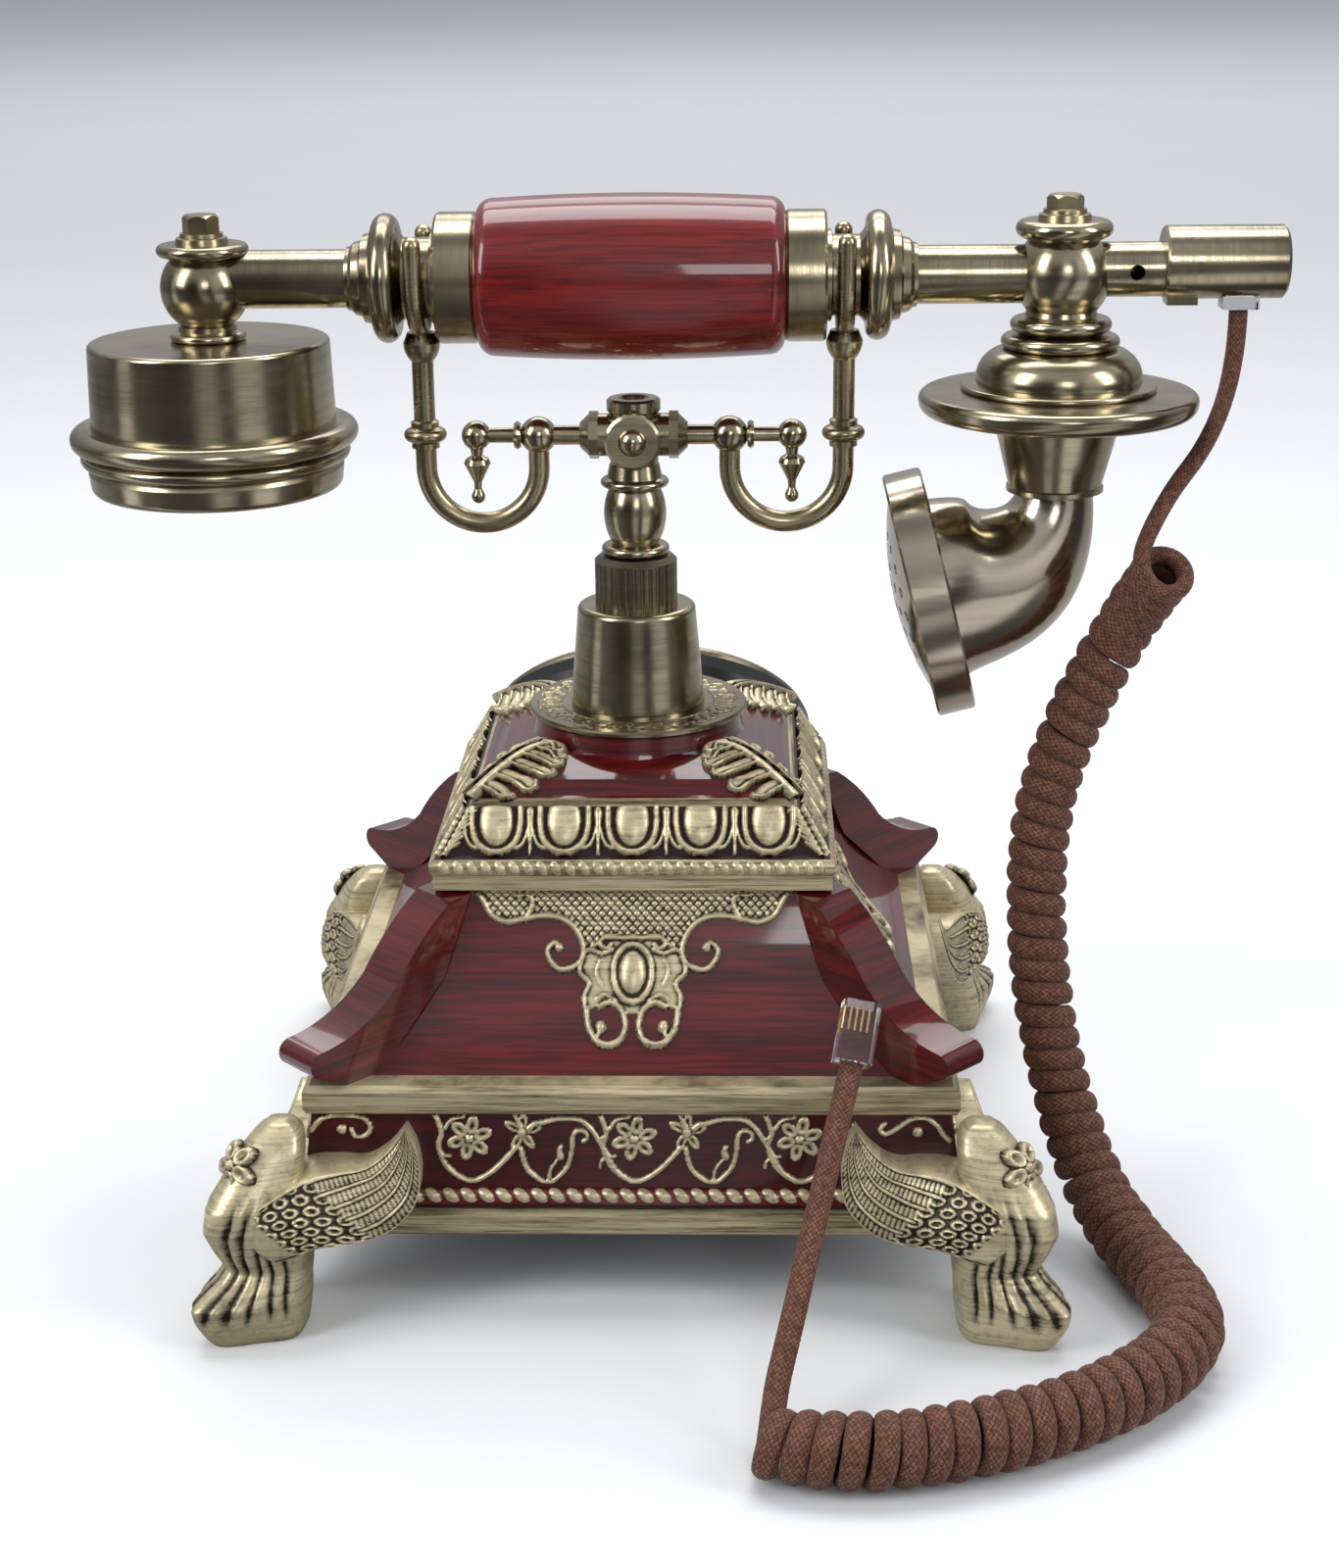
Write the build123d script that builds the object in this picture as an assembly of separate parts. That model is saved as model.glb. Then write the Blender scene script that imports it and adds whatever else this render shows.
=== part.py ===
"""French-style cradle telephone: a pagoda-shaped base on four paw feet, a sprung pillar cradle with two
hooks, a spindle handset and its curly cord.  Millimetres.  The origin is on the table, under the pillar.
+Z is up, the dial faces +Y, and the handset's mouthpiece is on the +X side."""
from build123d import *
from math import atan2, cos, pi, radians, sin, tan
import os

# ---------------------------------------------------------------- driving dimensions
BASE_HALF = 68.0            # half width of the base at its cornice
RAIL_BOTTOM = 17.1          # underside of the bottom rail
CORNICE_TOP = 49.8          # where the red roof starts
ROOF_TOP = 83.0             # where the roof meets the upper tier
NECK_TOP = 110.9            # seat of the engraved plate

FOOT_X = 76.2               # paw centre, from the middle of the base
PAD_HEIGHT = 1.2            # felt pad under each paw
PAD_RADIUS = 8.0

PLATE_RADIUS = 24.2         # engraved round plate
PLATE_TOP = 112.5
CONE_TOP = 135.0            # brushed cone cover of the pillar
COLLAR_TOP = 146.0          # knurled collar
COLLAR_RADIUS = 9.0
FLUTES = 32

POST_RADIUS = 4.0           # sliding post of the cradle
RUNNING = 0.05              # radial clearance of a running fit
ARM_HEIGHT = 172.3          # axis of the two arms of the cradle
ARM_RADIUS = 2.1
HOOK_X = 45.0               # outer stem of each hook
HOOK_BEND = 12.2            # radius of the hook's bend, to the middle of the rod
HOOK_ROD = 2.25             # radius of the rod
BEND_HEIGHT = 165.3         # height of the bend's centre
PRONG_RADIUS = 1.9

AXIS_HEIGHT = 206.0         # axis of the handset
POST_X = 90.6               # receiver and transmitter posts, from the middle
GRIP_HALF = 32.4
FERRULE_END = 41.0
NECK_END = 60.0
NECK_RADIUS = 8.5           # groove that lies in the prongs
TUBE_RADIUS = 6.1
TIE_RADIUS = 4.0

DIAL_CENTRE = (0, 70.3, 83.7)
DIAL_TILT = 45.0            # angle of the dial's face from upright
DIAL_RADIUS = 40.0
FINGER_HOLES = 10

CORD_RADIUS = 2.5
COIL_RADIUS = 7.5           # outside of the curly cord's coil
PLUG = (7.65, 6.6, 12.7)    # clear four-way modular plug

SCREW_RADIUS = 1.5
FAR = 100.0                 # past the end of whatever is being cut

# Routes of the cord: handset lead, axis of the coil, and the straight end with the loose plug.
UPPER_ROUTE = [(127.7, 0, 198.1), (127.7, -1, 187), (121.8, -10, 172.5), (111, -16, 160), (106.5, -21, 149.5)]
COIL_ROUTE = [
    (111.4, -25, 148.4), (108.8, -12, 139.2), (97.6, -11, 117.5), (89.5, -13.5, 96), (87.4, -18, 76),
    (88.8, -24, 53), (93.5, -31, 31), (100, -42, 13.2), (106.5, -57, 7.6), (112.6, -75, 7.6),
    (114, -92, 7.6), (104, -107.5, 7.6), (86, -121.5, 7.6), (63, -131.5, 7.6), (41, -135.5, 7.6),
    (27, -131.5, 7.6),
]
LOWER_ROUTE = [(30, -132, 7), (28.2, -125.2, 8.8), (31.7, -113, 17.2), (38, -92.5, 35), (45.5, -69.5, 56.4)]
PLUG_LEAN = (2.2, 7.5, 10.0)  # direction of the loose plug, from its cord end to its nose

DIAL_FACING = (0, sin(radians(DIAL_TILT)), cos(radians(DIAL_TILT)))
DIAL_PLANE = Plane(origin=DIAL_CENTRE, x_dir=(-1, 0, 0), z_dir=DIAL_FACING)
HORN_TURN = 76.0            # how far the elbow turns towards the mouth


# ---------------------------------------------------------------- helpers
def section(steps, place):
    """Flat face round the steps: (a, r) is reached straight, (a, r, a_mid, r_mid) by an arc."""
    edges = []
    last = steps[-1]
    for step in steps:
        start, end = place(*last[:2]), place(*step[:2])
        if len(step) == 4:
            edges.append(Edge.make_three_point_arc(start, place(*step[2:]), end))
        else:
            edges.append(Edge.make_line(start, end))
        last = step
    return Face(Wire(edges))


def turned(steps, x=0.0, y=0.0):
    """Solid turned about Z: each step is (height, radius)."""
    return Pos(x, y, 0) * revolve(section(steps, lambda a, r: (r, 0, a)), Axis.Z)


def turned_x(steps, z=AXIS_HEIGHT):
    """Solid turned about a line along X at height z: each step is (place along X, radius)."""
    return Pos(0, 0, z) * revolve(section(steps, lambda a, r: (a, 0, r)), Axis.X)


def turned_y(steps, z):
    """Solid turned about a line along Y at height z: each step is (place along Y, radius)."""
    return Pos(0, 0, z) * revolve(section(steps, lambda a, r: (0, a, r)), Axis.Y)


def cap(base, radius, tip):
    """Step to the tip of a spherical cap that stands on a circle of the given radius."""
    rise = tip - base
    sphere = (radius**2 + rise**2) / (2 * abs(rise))
    centre = tip - sphere if rise > 0 else tip + sphere
    middle = (atan2(radius, base - centre) + (0 if rise > 0 else pi)) / 2
    return (tip, 0, centre + sphere * cos(middle), sphere * sin(middle))


def rod(radius, low, high, x=0.0, y=0.0):
    """Upright cylinder between two heights."""
    return Pos(x, y, (low + high) / 2) * Cylinder(radius, high - low)


def rod_x(radius, low, high, y=0.0, z=AXIS_HEIGHT):
    """Cylinder along X."""
    return Pos((low + high) / 2, y, z) * Rot(0, 90, 0) * Cylinder(radius, high - low)


def rod_y(radius, low, high, x=0.0, z=0.0):
    """Cylinder along Y."""
    return Pos(x, (low + high) / 2, z) * Rot(90, 0, 0) * Cylinder(radius, high - low)


def block(low, high):
    """Box between two corners."""
    size = [b - a for a, b in zip(low, high)]
    middle = [(a + b) / 2 for a, b in zip(low, high)]
    return Pos(*middle) * Box(*size)


def both_sides(shape):
    """The shape and its mirror image across the YZ plane."""
    return [shape, mirror(shape, Plane.YZ)]


def four_corners(shape):
    """The shape and its mirror images in the other three corners."""
    return [s for pair in both_sides(shape) for s in (pair, mirror(pair, Plane.XZ))]


def square_stack(steps):
    """Solid with four equal mitred sides: each step is (height, half width)."""
    right = section([(steps[0][0], 0)] + steps + [(steps[-1][0], 0)], lambda a, w: (w, 0, a))
    along_y = extrude(right, FAR, both=True)
    along_y = along_y + mirror(along_y, Plane.YZ)
    return along_y & (Rot(0, 0, 90) * along_y)


def bent_tube(name, points, radius):
    """Tube along straight runs joined by tangent arcs as large as the runs allow."""
    route = [Vector(*p) for p in points]
    radii = []
    for before, corner, after in zip(route, route[1:], route[2:]):
        turn = (corner - before).get_angle(after - corner)
        shorter = min((corner - before).length, (after - corner).length)
        radii.append(0.45 * shorter / tan(radians(turn / 2)))
    path = FilletPolyline(*points, radius=radii)
    start = Plane(origin=path @ 0, z_dir=path % 0)
    tube = sweep(start * Circle(radius), path=path)
    share = tube.volume / (pi * radius**2 * path.length)
    print(name, "length", round(path.length, 1), "volume share", round(share, 4))
    print(name, "arc radii", [round(r, 1) for r in radii])
    return tube


parts = {}

# ---------------------------------------------------------------- base
OUTSIDE = [
    (RAIL_BOTTOM, 70.0), (18.0, 71.0), (22.0, 71.0), (22.9, 69.4), (25.2, 70.4, 23.6, 70.1),
    (27.4, 68.6, 26.8, 70.0),
    (43.7, 66.4), (43.7, 67.4), (45.0, BASE_HALF), (48.6, BASE_HALF), (CORNICE_TOP, 66.6),
    (CORNICE_TOP, 62.0),
    (ROOF_TOP, 40.0, 64.0, 48.6), (ROOF_TOP + 0.5, 42.2), (86.8, 42.2), (90.4, 41.6, 88.6, 42.8),
    (90.8, 40.8),
    (99.6, 35.4), (99.9, 34.2), (101.1, 34.2), (101.4, 32.6), (104.0, 29.5, 103.2, 30.4), (107.0, 22.0),
]
INSIDE = [
    (RAIL_BOTTOM - 1, 64.5), (CORNICE_TOP - 5, 61.0), (CORNICE_TOP, 56.0), (ROOF_TOP, 33.5, 64.0, 42.5),
    (92.0, 33.0), (97.0, 28.0),
]
NECK = [(103, 0), (103, 27.5), (108.2, 23.2, 105.2, 24.4), (NECK_TOP, 22.6), (NECK_TOP, 0)]
casting = square_stack(OUTSIDE) + turned(NECK)
rib_outline = [
    (83.0, 54.0), (82.5, 59.5), (68.0, 74.5, 77.0, 66.5), (59.0, 94.5, 61.5, 84.0),
    (53.6, 95.6, 55.6, 97.2),
    (CORNICE_TOP, 88.0), (CORNICE_TOP, 80.0), (66.0, 62.0),
]
RIB_HALF = 5.6
rib = extrude(section(rib_outline, lambda a, d: (d, 0, a)), RIB_HALF, both=True)
for turn in (45, 135, 225, 315):
    casting = casting + Rot(0, 0, turn) * rib
casting = casting - square_stack(INSIDE)
BOSS_X = 56.0
for boss in four_corners(rod(5.5, 19.7, 54.0, BOSS_X, BOSS_X)):
    casting = casting + boss
for hole in four_corners(rod(SCREW_RADIUS, 19.0, 40.0, BOSS_X, BOSS_X)):
    casting = casting - hole
BUSH_RADIUS = 6.5
casting = casting - rod(BUSH_RADIUS, 90.0, 112.0)
JACK_Y = 24.0               # both jacks are at this place along Y
JACK_FLOOR = 27.5
casting = casting - block((58.0, JACK_Y - 6.7, JACK_FLOOR), (72.0, JACK_Y + 6.7, JACK_FLOOR + 12.2))
casting = casting - block((-72.0, JACK_Y - 7.7, JACK_FLOOR), (-58.0, JACK_Y + 7.7, JACK_FLOOR + 12.2))
SWITCH_Y, SWITCH_Z = -6.0, 34.0
casting = casting - block((-72.0, SWITCH_Y - 5.4, SWITCH_Z - 2.4), (-58.0, SWITCH_Y + 5.4, SWITCH_Z + 2.4))
CASE_OUTSIDE = [(-26.0, 24.0), (-20.0, 31.0, -24.4, 28.6), (-3.0, DIAL_RADIUS, -8.0, 38.4),
    (0, DIAL_RADIUS)]
casting = casting - (DIAL_PLANE.location * turned([(-26.0, 0)] + CASE_OUTSIDE + [(0, 0)]))
parts["base_casting"] = casting

PLATE_FLOOR = 17.6          # underside of the bottom plate
PLATE_LID = 19.6
plate = block((-64, -64, PLATE_FLOOR), (64, 64, PLATE_LID))
STANDOFFS = [(-50.0, 4.0), (50.0, 4.0), (-50.0, 44.0), (50.0, 44.0)]
BOARD_FLOOR, BOARD_LID = 26.0, 27.6
for x, y in STANDOFFS:
    pillar = rod(3.2, PLATE_FLOOR, BOARD_FLOOR, x, y) - rod(SCREW_RADIUS, PLATE_LID, BOARD_FLOOR, x, y)
    plate = plate + pillar
for hole in four_corners(rod(SCREW_RADIUS + 0.1, 15.0, 22.0, BOSS_X, BOSS_X)):
    plate = plate - hole
parts["base_plate"] = plate

screw = [(0, 0), (0, 2.9), (1.0, 2.9), (1.0, SCREW_RADIUS), (10.0, SCREW_RADIUS), (10.0, 0)]


def screw_at(x, y, head, up=True):
    """Round-headed screw with its head's bearing face at a height, its shank going up or down."""
    way = 1 if up else -1
    steps = [(head + way * (a - 1.0), r) for a, r in screw]
    return turned(steps, x, y)


GONG_X, GONG_Y = 24.0, -30.0
GONG_TOP = 52.0
shanks = [screw_at(x, y, PLATE_FLOOR) for x in (-BOSS_X, BOSS_X) for y in (-BOSS_X, BOSS_X)]
shanks += [screw_at(x, y, BOARD_LID, up=False) for x, y in STANDOFFS]
shanks += [screw_at(x, GONG_Y, GONG_TOP, up=False) for x in (-GONG_X, GONG_X)]
parts["machine_screws"] = Compound(shanks)
for x, y in STANDOFFS:
    parts["base_plate"] = parts["base_plate"] - rod(SCREW_RADIUS, BOARD_LID - 9.0, BOARD_LID, x, y)


# Leg of a foot: height, radius, and how far out its middle is.
LEG = [(13.0, 7.4, -76.2), (20.0, 9.6, -75.8), (30.0, 11.6, -75.2), (40.0, 12.0, -74.6), (47.0, 8.6, -73.8)]


def foot():
    """Paw foot at the corner towards -X and -Y: paw, bowed leg and two wings along the sides."""
    paw = Pos(-FOOT_X, -FOOT_X, 0) * turned([
        (PAD_HEIGHT, 0), (PAD_HEIGHT, 9.2), (7.0, 11.4, 3.6, 11.2), (14.0, 8.8, 11.4, 11.0),
        (16.0, 7.6), (16.0, 0)])
    levels = [Pos(at, at, a) * Circle(r) for a, r, at in LEG]
    leg = loft([level.face() for level in levels])
    wing_steps = [
        (23.0, -82.0), (22.0, -66.0, 20.0, -74.0), (28.0, -57.5, 23.6, -60.5), (33.0, -50.0, 30.5, -55.0),
        (44.5, -44.5, 40.5, -44.0), (46.0, -62.0, 42.0, -53.0), (47.0, -82.0),
    ]
    wing = extrude(section(wing_steps, lambda a, x: (x, -76.6, a)), 10.5, dir=(0, 1, 0))
    other = mirror(wing, Plane(origin=(0, 0, 0), z_dir=(1, -1, 0)))
    return (paw + leg + wing + other) - block((-71, -71, RAIL_BOTTOM), (0, 0, 200))


rear_right = foot() - square_stack(OUTSIDE)
rear_right = rear_right.solids().sort_by(SortBy.VOLUME)[-1]
parts["rear_feet"] = Compound(both_sides(rear_right))
parts["front_feet"] = Compound([mirror(one, Plane.XZ) for one in both_sides(rear_right)])
parts["foot_pads"] = Compound(four_corners(rod(PAD_RADIUS, 0, PAD_HEIGHT, FOOT_X, FOOT_X)))

board = block((-57, -6, BOARD_FLOOR), (57, 48, BOARD_LID))
for x, y in STANDOFFS:
    board = board - rod(SCREW_RADIUS + 0.1, 20, 30, x, y)
parts["circuit_board"] = board

SWITCH_BODY_TOP = 36.0
POST_FOOT = 40.4
switch = block((-6, -5, BOARD_LID), (6, 5, SWITCH_BODY_TOP)) + block((-1.5, -1.5, 36.0), (1.5, 1.5, 38.4))
switch = switch + block((-5.5, -2.5, 38.4), (5.5, 2.5, 38.9)) + block((4.7, -2.5, 36.0), (5.5, 2.5, 38.9))
parts["hook_switch"] = switch

jack = block((52.0, JACK_Y - 6.5, BOARD_LID), (66.6, JACK_Y + 6.5, BOARD_LID + 12.0))
parts["handset_jack"] = jack - block((53.5, JACK_Y - 3.95, 30.6), (70, JACK_Y + 3.95, 37.4))
jack = block((-66.6, JACK_Y - 7.5, BOARD_LID), (-52.0, JACK_Y + 7.5, BOARD_LID + 12.0))
parts["line_jack"] = jack - block((-70, JACK_Y - 4.95, 30.6), (-53.5, JACK_Y + 4.95, 37.4))

# Slide switch for the bell: the knob moves along Y in a slot of the casting.
SWITCH_TRAVEL = 3.0
KNOB_Y = SWITCH_Y - SWITCH_TRAVEL / 2
slider = block((-61.8, KNOB_Y - 3.6, SWITCH_Z - 3.6), (-60.6, KNOB_Y + 3.6, SWITCH_Z + 3.6))
grip = block((-69.6, KNOB_Y - 1.9, SWITCH_Z - 2.0), (-58.4, KNOB_Y + 1.9, SWITCH_Z + 2.0))
parts["ringer_switch_knob"] = slider + grip

# Bell: two gongs on posts of a frame, a coil, and a hammer that swings between the gongs.
SPINDLE_Y = -12.0
HAMMER_Z = 46.0
frame = block((-44, -50, PLATE_LID), (44, -8, 21.4))
for x in (-GONG_X, GONG_X):
    frame = frame + (rod(3.0, 21.4, 50.6, x, GONG_Y) - rod(SCREW_RADIUS, 43.0, 51.0, x, GONG_Y))
frame = frame + block((-4, -15.4, 21.4), (4, -8.6, 33.0)) - rod(1.2 + RUNNING, 19.0, 40.0, 0, SPINDLE_Y)
frame = frame + block((-13, -35, 21.4), (-11, -25, 38.0)) + block((11, -35, 21.4), (13, -25, 38.0))
parts["ringer_frame"] = frame
parts["ringer_coil"] = rod_x(7.0, -11.0, 11.0, GONG_Y, 31.0)
gong = [
    (GONG_TOP, SCREW_RADIUS), (GONG_TOP, 6.0), (47.5, 16.4, 50.9, 12.6), (42.6, 18.6), (42.4, 17.4),
    (46.6, 15.2),
    (50.6, 5.8, 49.7, 11.6), (50.6, SCREW_RADIUS),
]
parts["bell_gongs"] = Compound([turned(gong, x, GONG_Y) for x in (-GONG_X, GONG_X)])
hammer = rod(1.2, 22.0, 48.0, 0, SPINDLE_Y) + rod(2.4, 33.4, 35.4, 0, SPINDLE_Y)
hammer = hammer + rod(2.4, 44.0, 48.0, 0, SPINDLE_Y)
hammer = hammer + rod_y(0.8, -30.0, SPINDLE_Y, 0, HAMMER_Z) + Pos(0, -30.0, HAMMER_Z) * Sphere(2.6)
hammer = hammer + block((-3.5, -20.5, 33.4), (3.5, -11.0, 35.0))
parts["bell_hammer"] = hammer

# ---------------------------------------------------------------- pillar
parts["top_plate"] = turned([
    (NECK_TOP, BUSH_RADIUS), (NECK_TOP, 23.6), (111.5, PLATE_RADIUS), (112.1, PLATE_RADIUS),
    (PLATE_TOP, 23.8),
    (PLATE_TOP, BUSH_RADIUS)])
BUSH_TOP = 114.5
parts["post_bush"] = turned([
    (94.0, POST_RADIUS + RUNNING), (94.0, BUSH_RADIUS), (PLATE_TOP, BUSH_RADIUS), (PLATE_TOP, 11.0),
    (BUSH_TOP, 11.0), (BUSH_TOP, POST_RADIUS + RUNNING)])
nut = extrude(Pos(0, 0, 93.0) * RegularPolygon(10.0, 6), 4.0)
parts["pillar_nut"] = nut - rod(BUSH_RADIUS, 90, 100)
parts["pillar_cone"] = turned([
    (PLATE_TOP, 11.6), (PLATE_TOP, 14.8), (113.3, 14.8), (133.4, 13.0), (CONE_TOP, 11.6, 134.6, 12.6),
    (CONE_TOP, 6.0), (133.0, 6.0), (133.0, 10.6), (132.0, 11.2)])
collar = turned([
    (133.0, POST_RADIUS + RUNNING), (133.0, 6.0), (CONE_TOP, 6.0), (CONE_TOP, COLLAR_RADIUS),
    (144.9, COLLAR_RADIUS), (COLLAR_TOP, 7.8), (COLLAR_TOP, POST_RADIUS + RUNNING)])
for k in range(FLUTES):
    collar = collar - Rot(0, 0, k * 360 / FLUTES) * rod(0.5, CONE_TOP, 144.6, COLLAR_RADIUS + 0.15)
parts["knurled_collar"] = collar

# ---------------------------------------------------------------- cradle
SPRING_TOP = 124.0
parts["cradle_post"] = turned([
    (POST_FOOT, 0), (POST_FOOT, POST_RADIUS), (SPRING_TOP, POST_RADIUS), (SPRING_TOP, 7.2), (125.5, 7.2),
    (125.5, POST_RADIUS), (152.0, POST_RADIUS), (152.0, 0)])
parts["cradle_baluster"] = turned([
    (146.3, POST_RADIUS), (146.3, 6.6), (148.4, 6.6, 147.35, 7.4), (148.6, 5.0), (161.0, 5.4, 155.2, 6.8),
    (161.2, 6.5), (163.0, 6.5, 162.1, 7.4), (163.2, 6.0), (166.0, 5.4), (166.0, 0), (152.0, 0),
    (152.0, POST_RADIUS)])
head = turned([
    (166.0, 0), (166.0, 5.2), (177.2, 5.3), (177.8, 5.8), (179.9, 5.8), (180.4, 5.2), (180.4, 3.4),
    (179.0, 2.6),
    (179.0, 0)])
head = head + rod_y(5.4, -7.4, 7.4, 0, ARM_HEIGHT) + rod_x(4.6, -7.6, 7.6, 0, ARM_HEIGHT)
for side in (-1, 1):
    button = turned_y([(7.4, 0), (7.4, 5.4), (7.7, 6.0), (8.7, 6.0), (9.1, 5.4),
        (9.1, 3.0), cap(9.1, 3.0, 11.2)],
                      ARM_HEIGHT)
    head = head + (button if side > 0 else mirror(button, Plane.XZ))
parts["cross_head"] = head
octagon = extrude(Plane(origin=(7.6, 0, ARM_HEIGHT), z_dir=(1, 0, 0)) * RegularPolygon(5.2, 8), 2.0)
octagon = octagon + turned_x([(9.6, 0), (9.6, 4.6), (11.6, 2.7), (11.6, 0)], ARM_HEIGHT)
octagon = octagon - rod_x(ARM_RADIUS, 0, 20, 0, ARM_HEIGHT)
parts["arm_nuts"] = Compound(both_sides(octagon))
BALL_X, END_X = HOOK_X - 2 * HOOK_BEND, 34.0
arm = rod_x(ARM_RADIUS, 7.6, BALL_X, 0, ARM_HEIGHT) + Pos(BALL_X, 0, ARM_HEIGHT) * Sphere(4.0)
arm = arm + rod_x(1.6, BALL_X, END_X, 0, ARM_HEIGHT) + Pos(END_X, 0, ARM_HEIGHT) * Sphere(3.2)
arm = arm + turned_x([(24.4, 0), (24.4, 2.6), (25.1, 3.1), (25.8, 2.6), (25.8, 0)], ARM_HEIGHT)
finial = turned([
    (170.5, 0), (170.5, 1.7), (168.0, 1.2), (167.2, 2.5), (166.2, 2.9), (162.2, 0.9), (160.6, 0.8),
    (159.6, 1.3),
    cap(159.6, 1.3, 157.4)], END_X)
parts["cradle_arms"] = Compound(both_sides(arm + finial))
ball_seat = Pos(BALL_X, 0, ARM_HEIGHT) * Sphere(4.0)


def hook():
    """Hook on the +X side: a bent rod, an upright stem with a collar, and a fork for the handset's neck."""
    bend_x = HOOK_X - HOOK_BEND
    ring = Plane(origin=(HOOK_X, 0, BEND_HEIGHT), z_dir=(0, 0, 1)) * Circle(HOOK_ROD)
    bend = revolve(ring, Axis((bend_x, 0, BEND_HEIGHT), (0, 1, 0)), 180)
    shape = bend + rod(HOOK_ROD, BEND_HEIGHT, ARM_HEIGHT, BALL_X)
    stem = turned([
        (BEND_HEIGHT, 0), (BEND_HEIGHT, HOOK_ROD), (169.6, HOOK_ROD), (169.8, 3.0), (170.9, 3.0),
        (171.2, 3.5),
        (174.0, 3.5, 172.6, 4.6), (174.3, 3.0), (175.4, 3.0), (175.8, 2.3), (188.4, 2.3),
        (192.4, 3.9, 190.0, 3.4),
        (194.6, 3.0), (194.6, 0)], HOOK_X)
    shape = shape + stem
    fork_z = AXIS_HEIGHT + 0.3
    fork_y = NECK_RADIUS + 0.6 + PRONG_RADIUS
    half_ring = revolve(Plane(origin=(HOOK_X, fork_y, fork_z), z_dir=(0, 0, 1)) * Circle(PRONG_RADIUS),
                        Axis((HOOK_X, 0, fork_z), (1, 0, 0)), -180)
    shape = shape + half_ring
    for side in (-1, 1):
        shape = shape + rod(PRONG_RADIUS, fork_z, 214.0, HOOK_X, side * fork_y)
        shape = shape + Pos(HOOK_X, side * fork_y, 214.0) * Sphere(PRONG_RADIUS)
    return shape - ball_seat


parts["hook_left"] = hook()
parts["hook_right"] = mirror(parts["hook_left"], Plane.YZ)
SPRING_TURNS = 6
SPRING_LENGTH = SPRING_TOP - BUSH_TOP - 1.1
spring_path = Helix(pitch=SPRING_LENGTH / SPRING_TURNS, height=SPRING_LENGTH, radius=5.6)
spring_path = Pos(0, 0, BUSH_TOP + 0.55) * spring_path
spring_start = Plane(origin=spring_path @ 0, z_dir=spring_path % 0)
parts["cradle_spring"] = sweep(spring_start * Circle(0.5), path=spring_path, is_frenet=True)

# ---------------------------------------------------------------- handset: grip and necks
parts["handset_grip"] = turned_x([
    (-GRIP_HALF, TIE_RADIUS), (-GRIP_HALF, 13.0), (-29.0, 16.4, -31.404, 15.404), (29.0, 16.4, 0, 17.3),
    (GRIP_HALF, 13.0, 31.404, 15.404), (GRIP_HALF, TIE_RADIUS)])
ferrule = turned_x([
    (GRIP_HALF, 11.8), (GRIP_HALF, 13.3), (33.0, 13.7), (40.4, 13.7), (FERRULE_END, 13.2),
    (FERRULE_END, TIE_RADIUS),
    (39.2, TIE_RADIUS), (39.2, 11.8)])
parts["grip_ferrules"] = Compound(both_sides(ferrule))
parts["tie_tube"] = rod_x(TIE_RADIUS, -57.0, 57.0) - rod_x(3.0, -60, 60)
neck = turned_x([
    (FERRULE_END, TIE_RADIUS), (FERRULE_END, 9.6), (42.0, 9.6), (42.3, NECK_RADIUS), (47.9, NECK_RADIUS),
    (49.4, 12.0, 49.0, 9.8), (54.4, 11.2, 51.9, 13.5), (54.9, 9.5), (56.4, 9.2), (56.9, 8.0), (58.4, 7.6),
    (59.2, 6.8), (NECK_END, 6.6), (NECK_END, TIE_RADIUS)])
parts["handset_necks"] = Compound(both_sides(neck))
tube = rod_x(TUBE_RADIUS, NECK_END, POST_X - 4.6) - rod_x(4.6, 50, 95)
parts["handset_tubes"] = Compound(both_sides(tube))

# ---------------------------------------------------------------- handset: receiver, on the -X side
H = AXIS_HEIGHT
BOLT_RADIUS = 2.0
post = turned([
    (H - 12.7, BOLT_RADIUS), (H - 12.7, 7.4), (H - 10.9, 7.4, H - 11.8, 8.1), (H - 10.6, 6.2),
    (H - 9.6, 6.2),
    (H - 9.3, 5.6), (H + 4.6, 6.8, H - 2.0, 9.4), (H + 5.0, 8.4), (H + 7.6, 8.4, H + 6.3, 9.7),
    (H + 7.6, BOLT_RADIUS)],
    -POST_X)
post = post - rod_x(TUBE_RADIUS, -POST_X + 4.6, -60)
parts["receiver_post"] = post
CASE_TOP, CASE_FOOT = H - 12.7, H - 30.6
parts["receiver_case"] = turned([
    (CASE_TOP, BOLT_RADIUS), (CASE_TOP, 24.6), (CASE_TOP - 1.1, 25.7, CASE_TOP - 0.3, 25.4),
    (CASE_FOOT, 26.2),
    (CASE_FOOT, 24.4), (CASE_TOP - 2.2, 23.8), (CASE_TOP - 2.2, BOLT_RADIUS)], -POST_X)
RING_FOOT = H - 38.4
parts["receiver_ring"] = turned([
    (CASE_FOOT, 23.2), (CASE_FOOT, 27.4), (H - 35.4, 28.2, H - 32.6, 30.8), (H - 35.7, 27.6),
    (RING_FOOT, 27.0, H - 37.0, 28.9), (RING_FOOT, 23.2)], -POST_X)
ear = turned([
    (RING_FOOT, 22.4), (RING_FOOT, 26.6), (H - 40.0, 27.4), (H - 43.4, 27.0),
    (H - 44.6, 24.6, H - 44.4, 26.2),
    (H - 43.2, 12.0, H - 44.3, 18.0), (H - 43.2, 0), (H - 41.4, 0), (H - 41.4, 22.4)], -POST_X)
for ring_radius, count in ((0, 1), (5.0, 6)):
    for k in range(count):
        at = radians(k * 360 / count)
        ear = ear - rod(1.1, 150, 175, -POST_X + ring_radius * cos(at), ring_radius * sin(at))
parts["receiver_cap"] = ear
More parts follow.
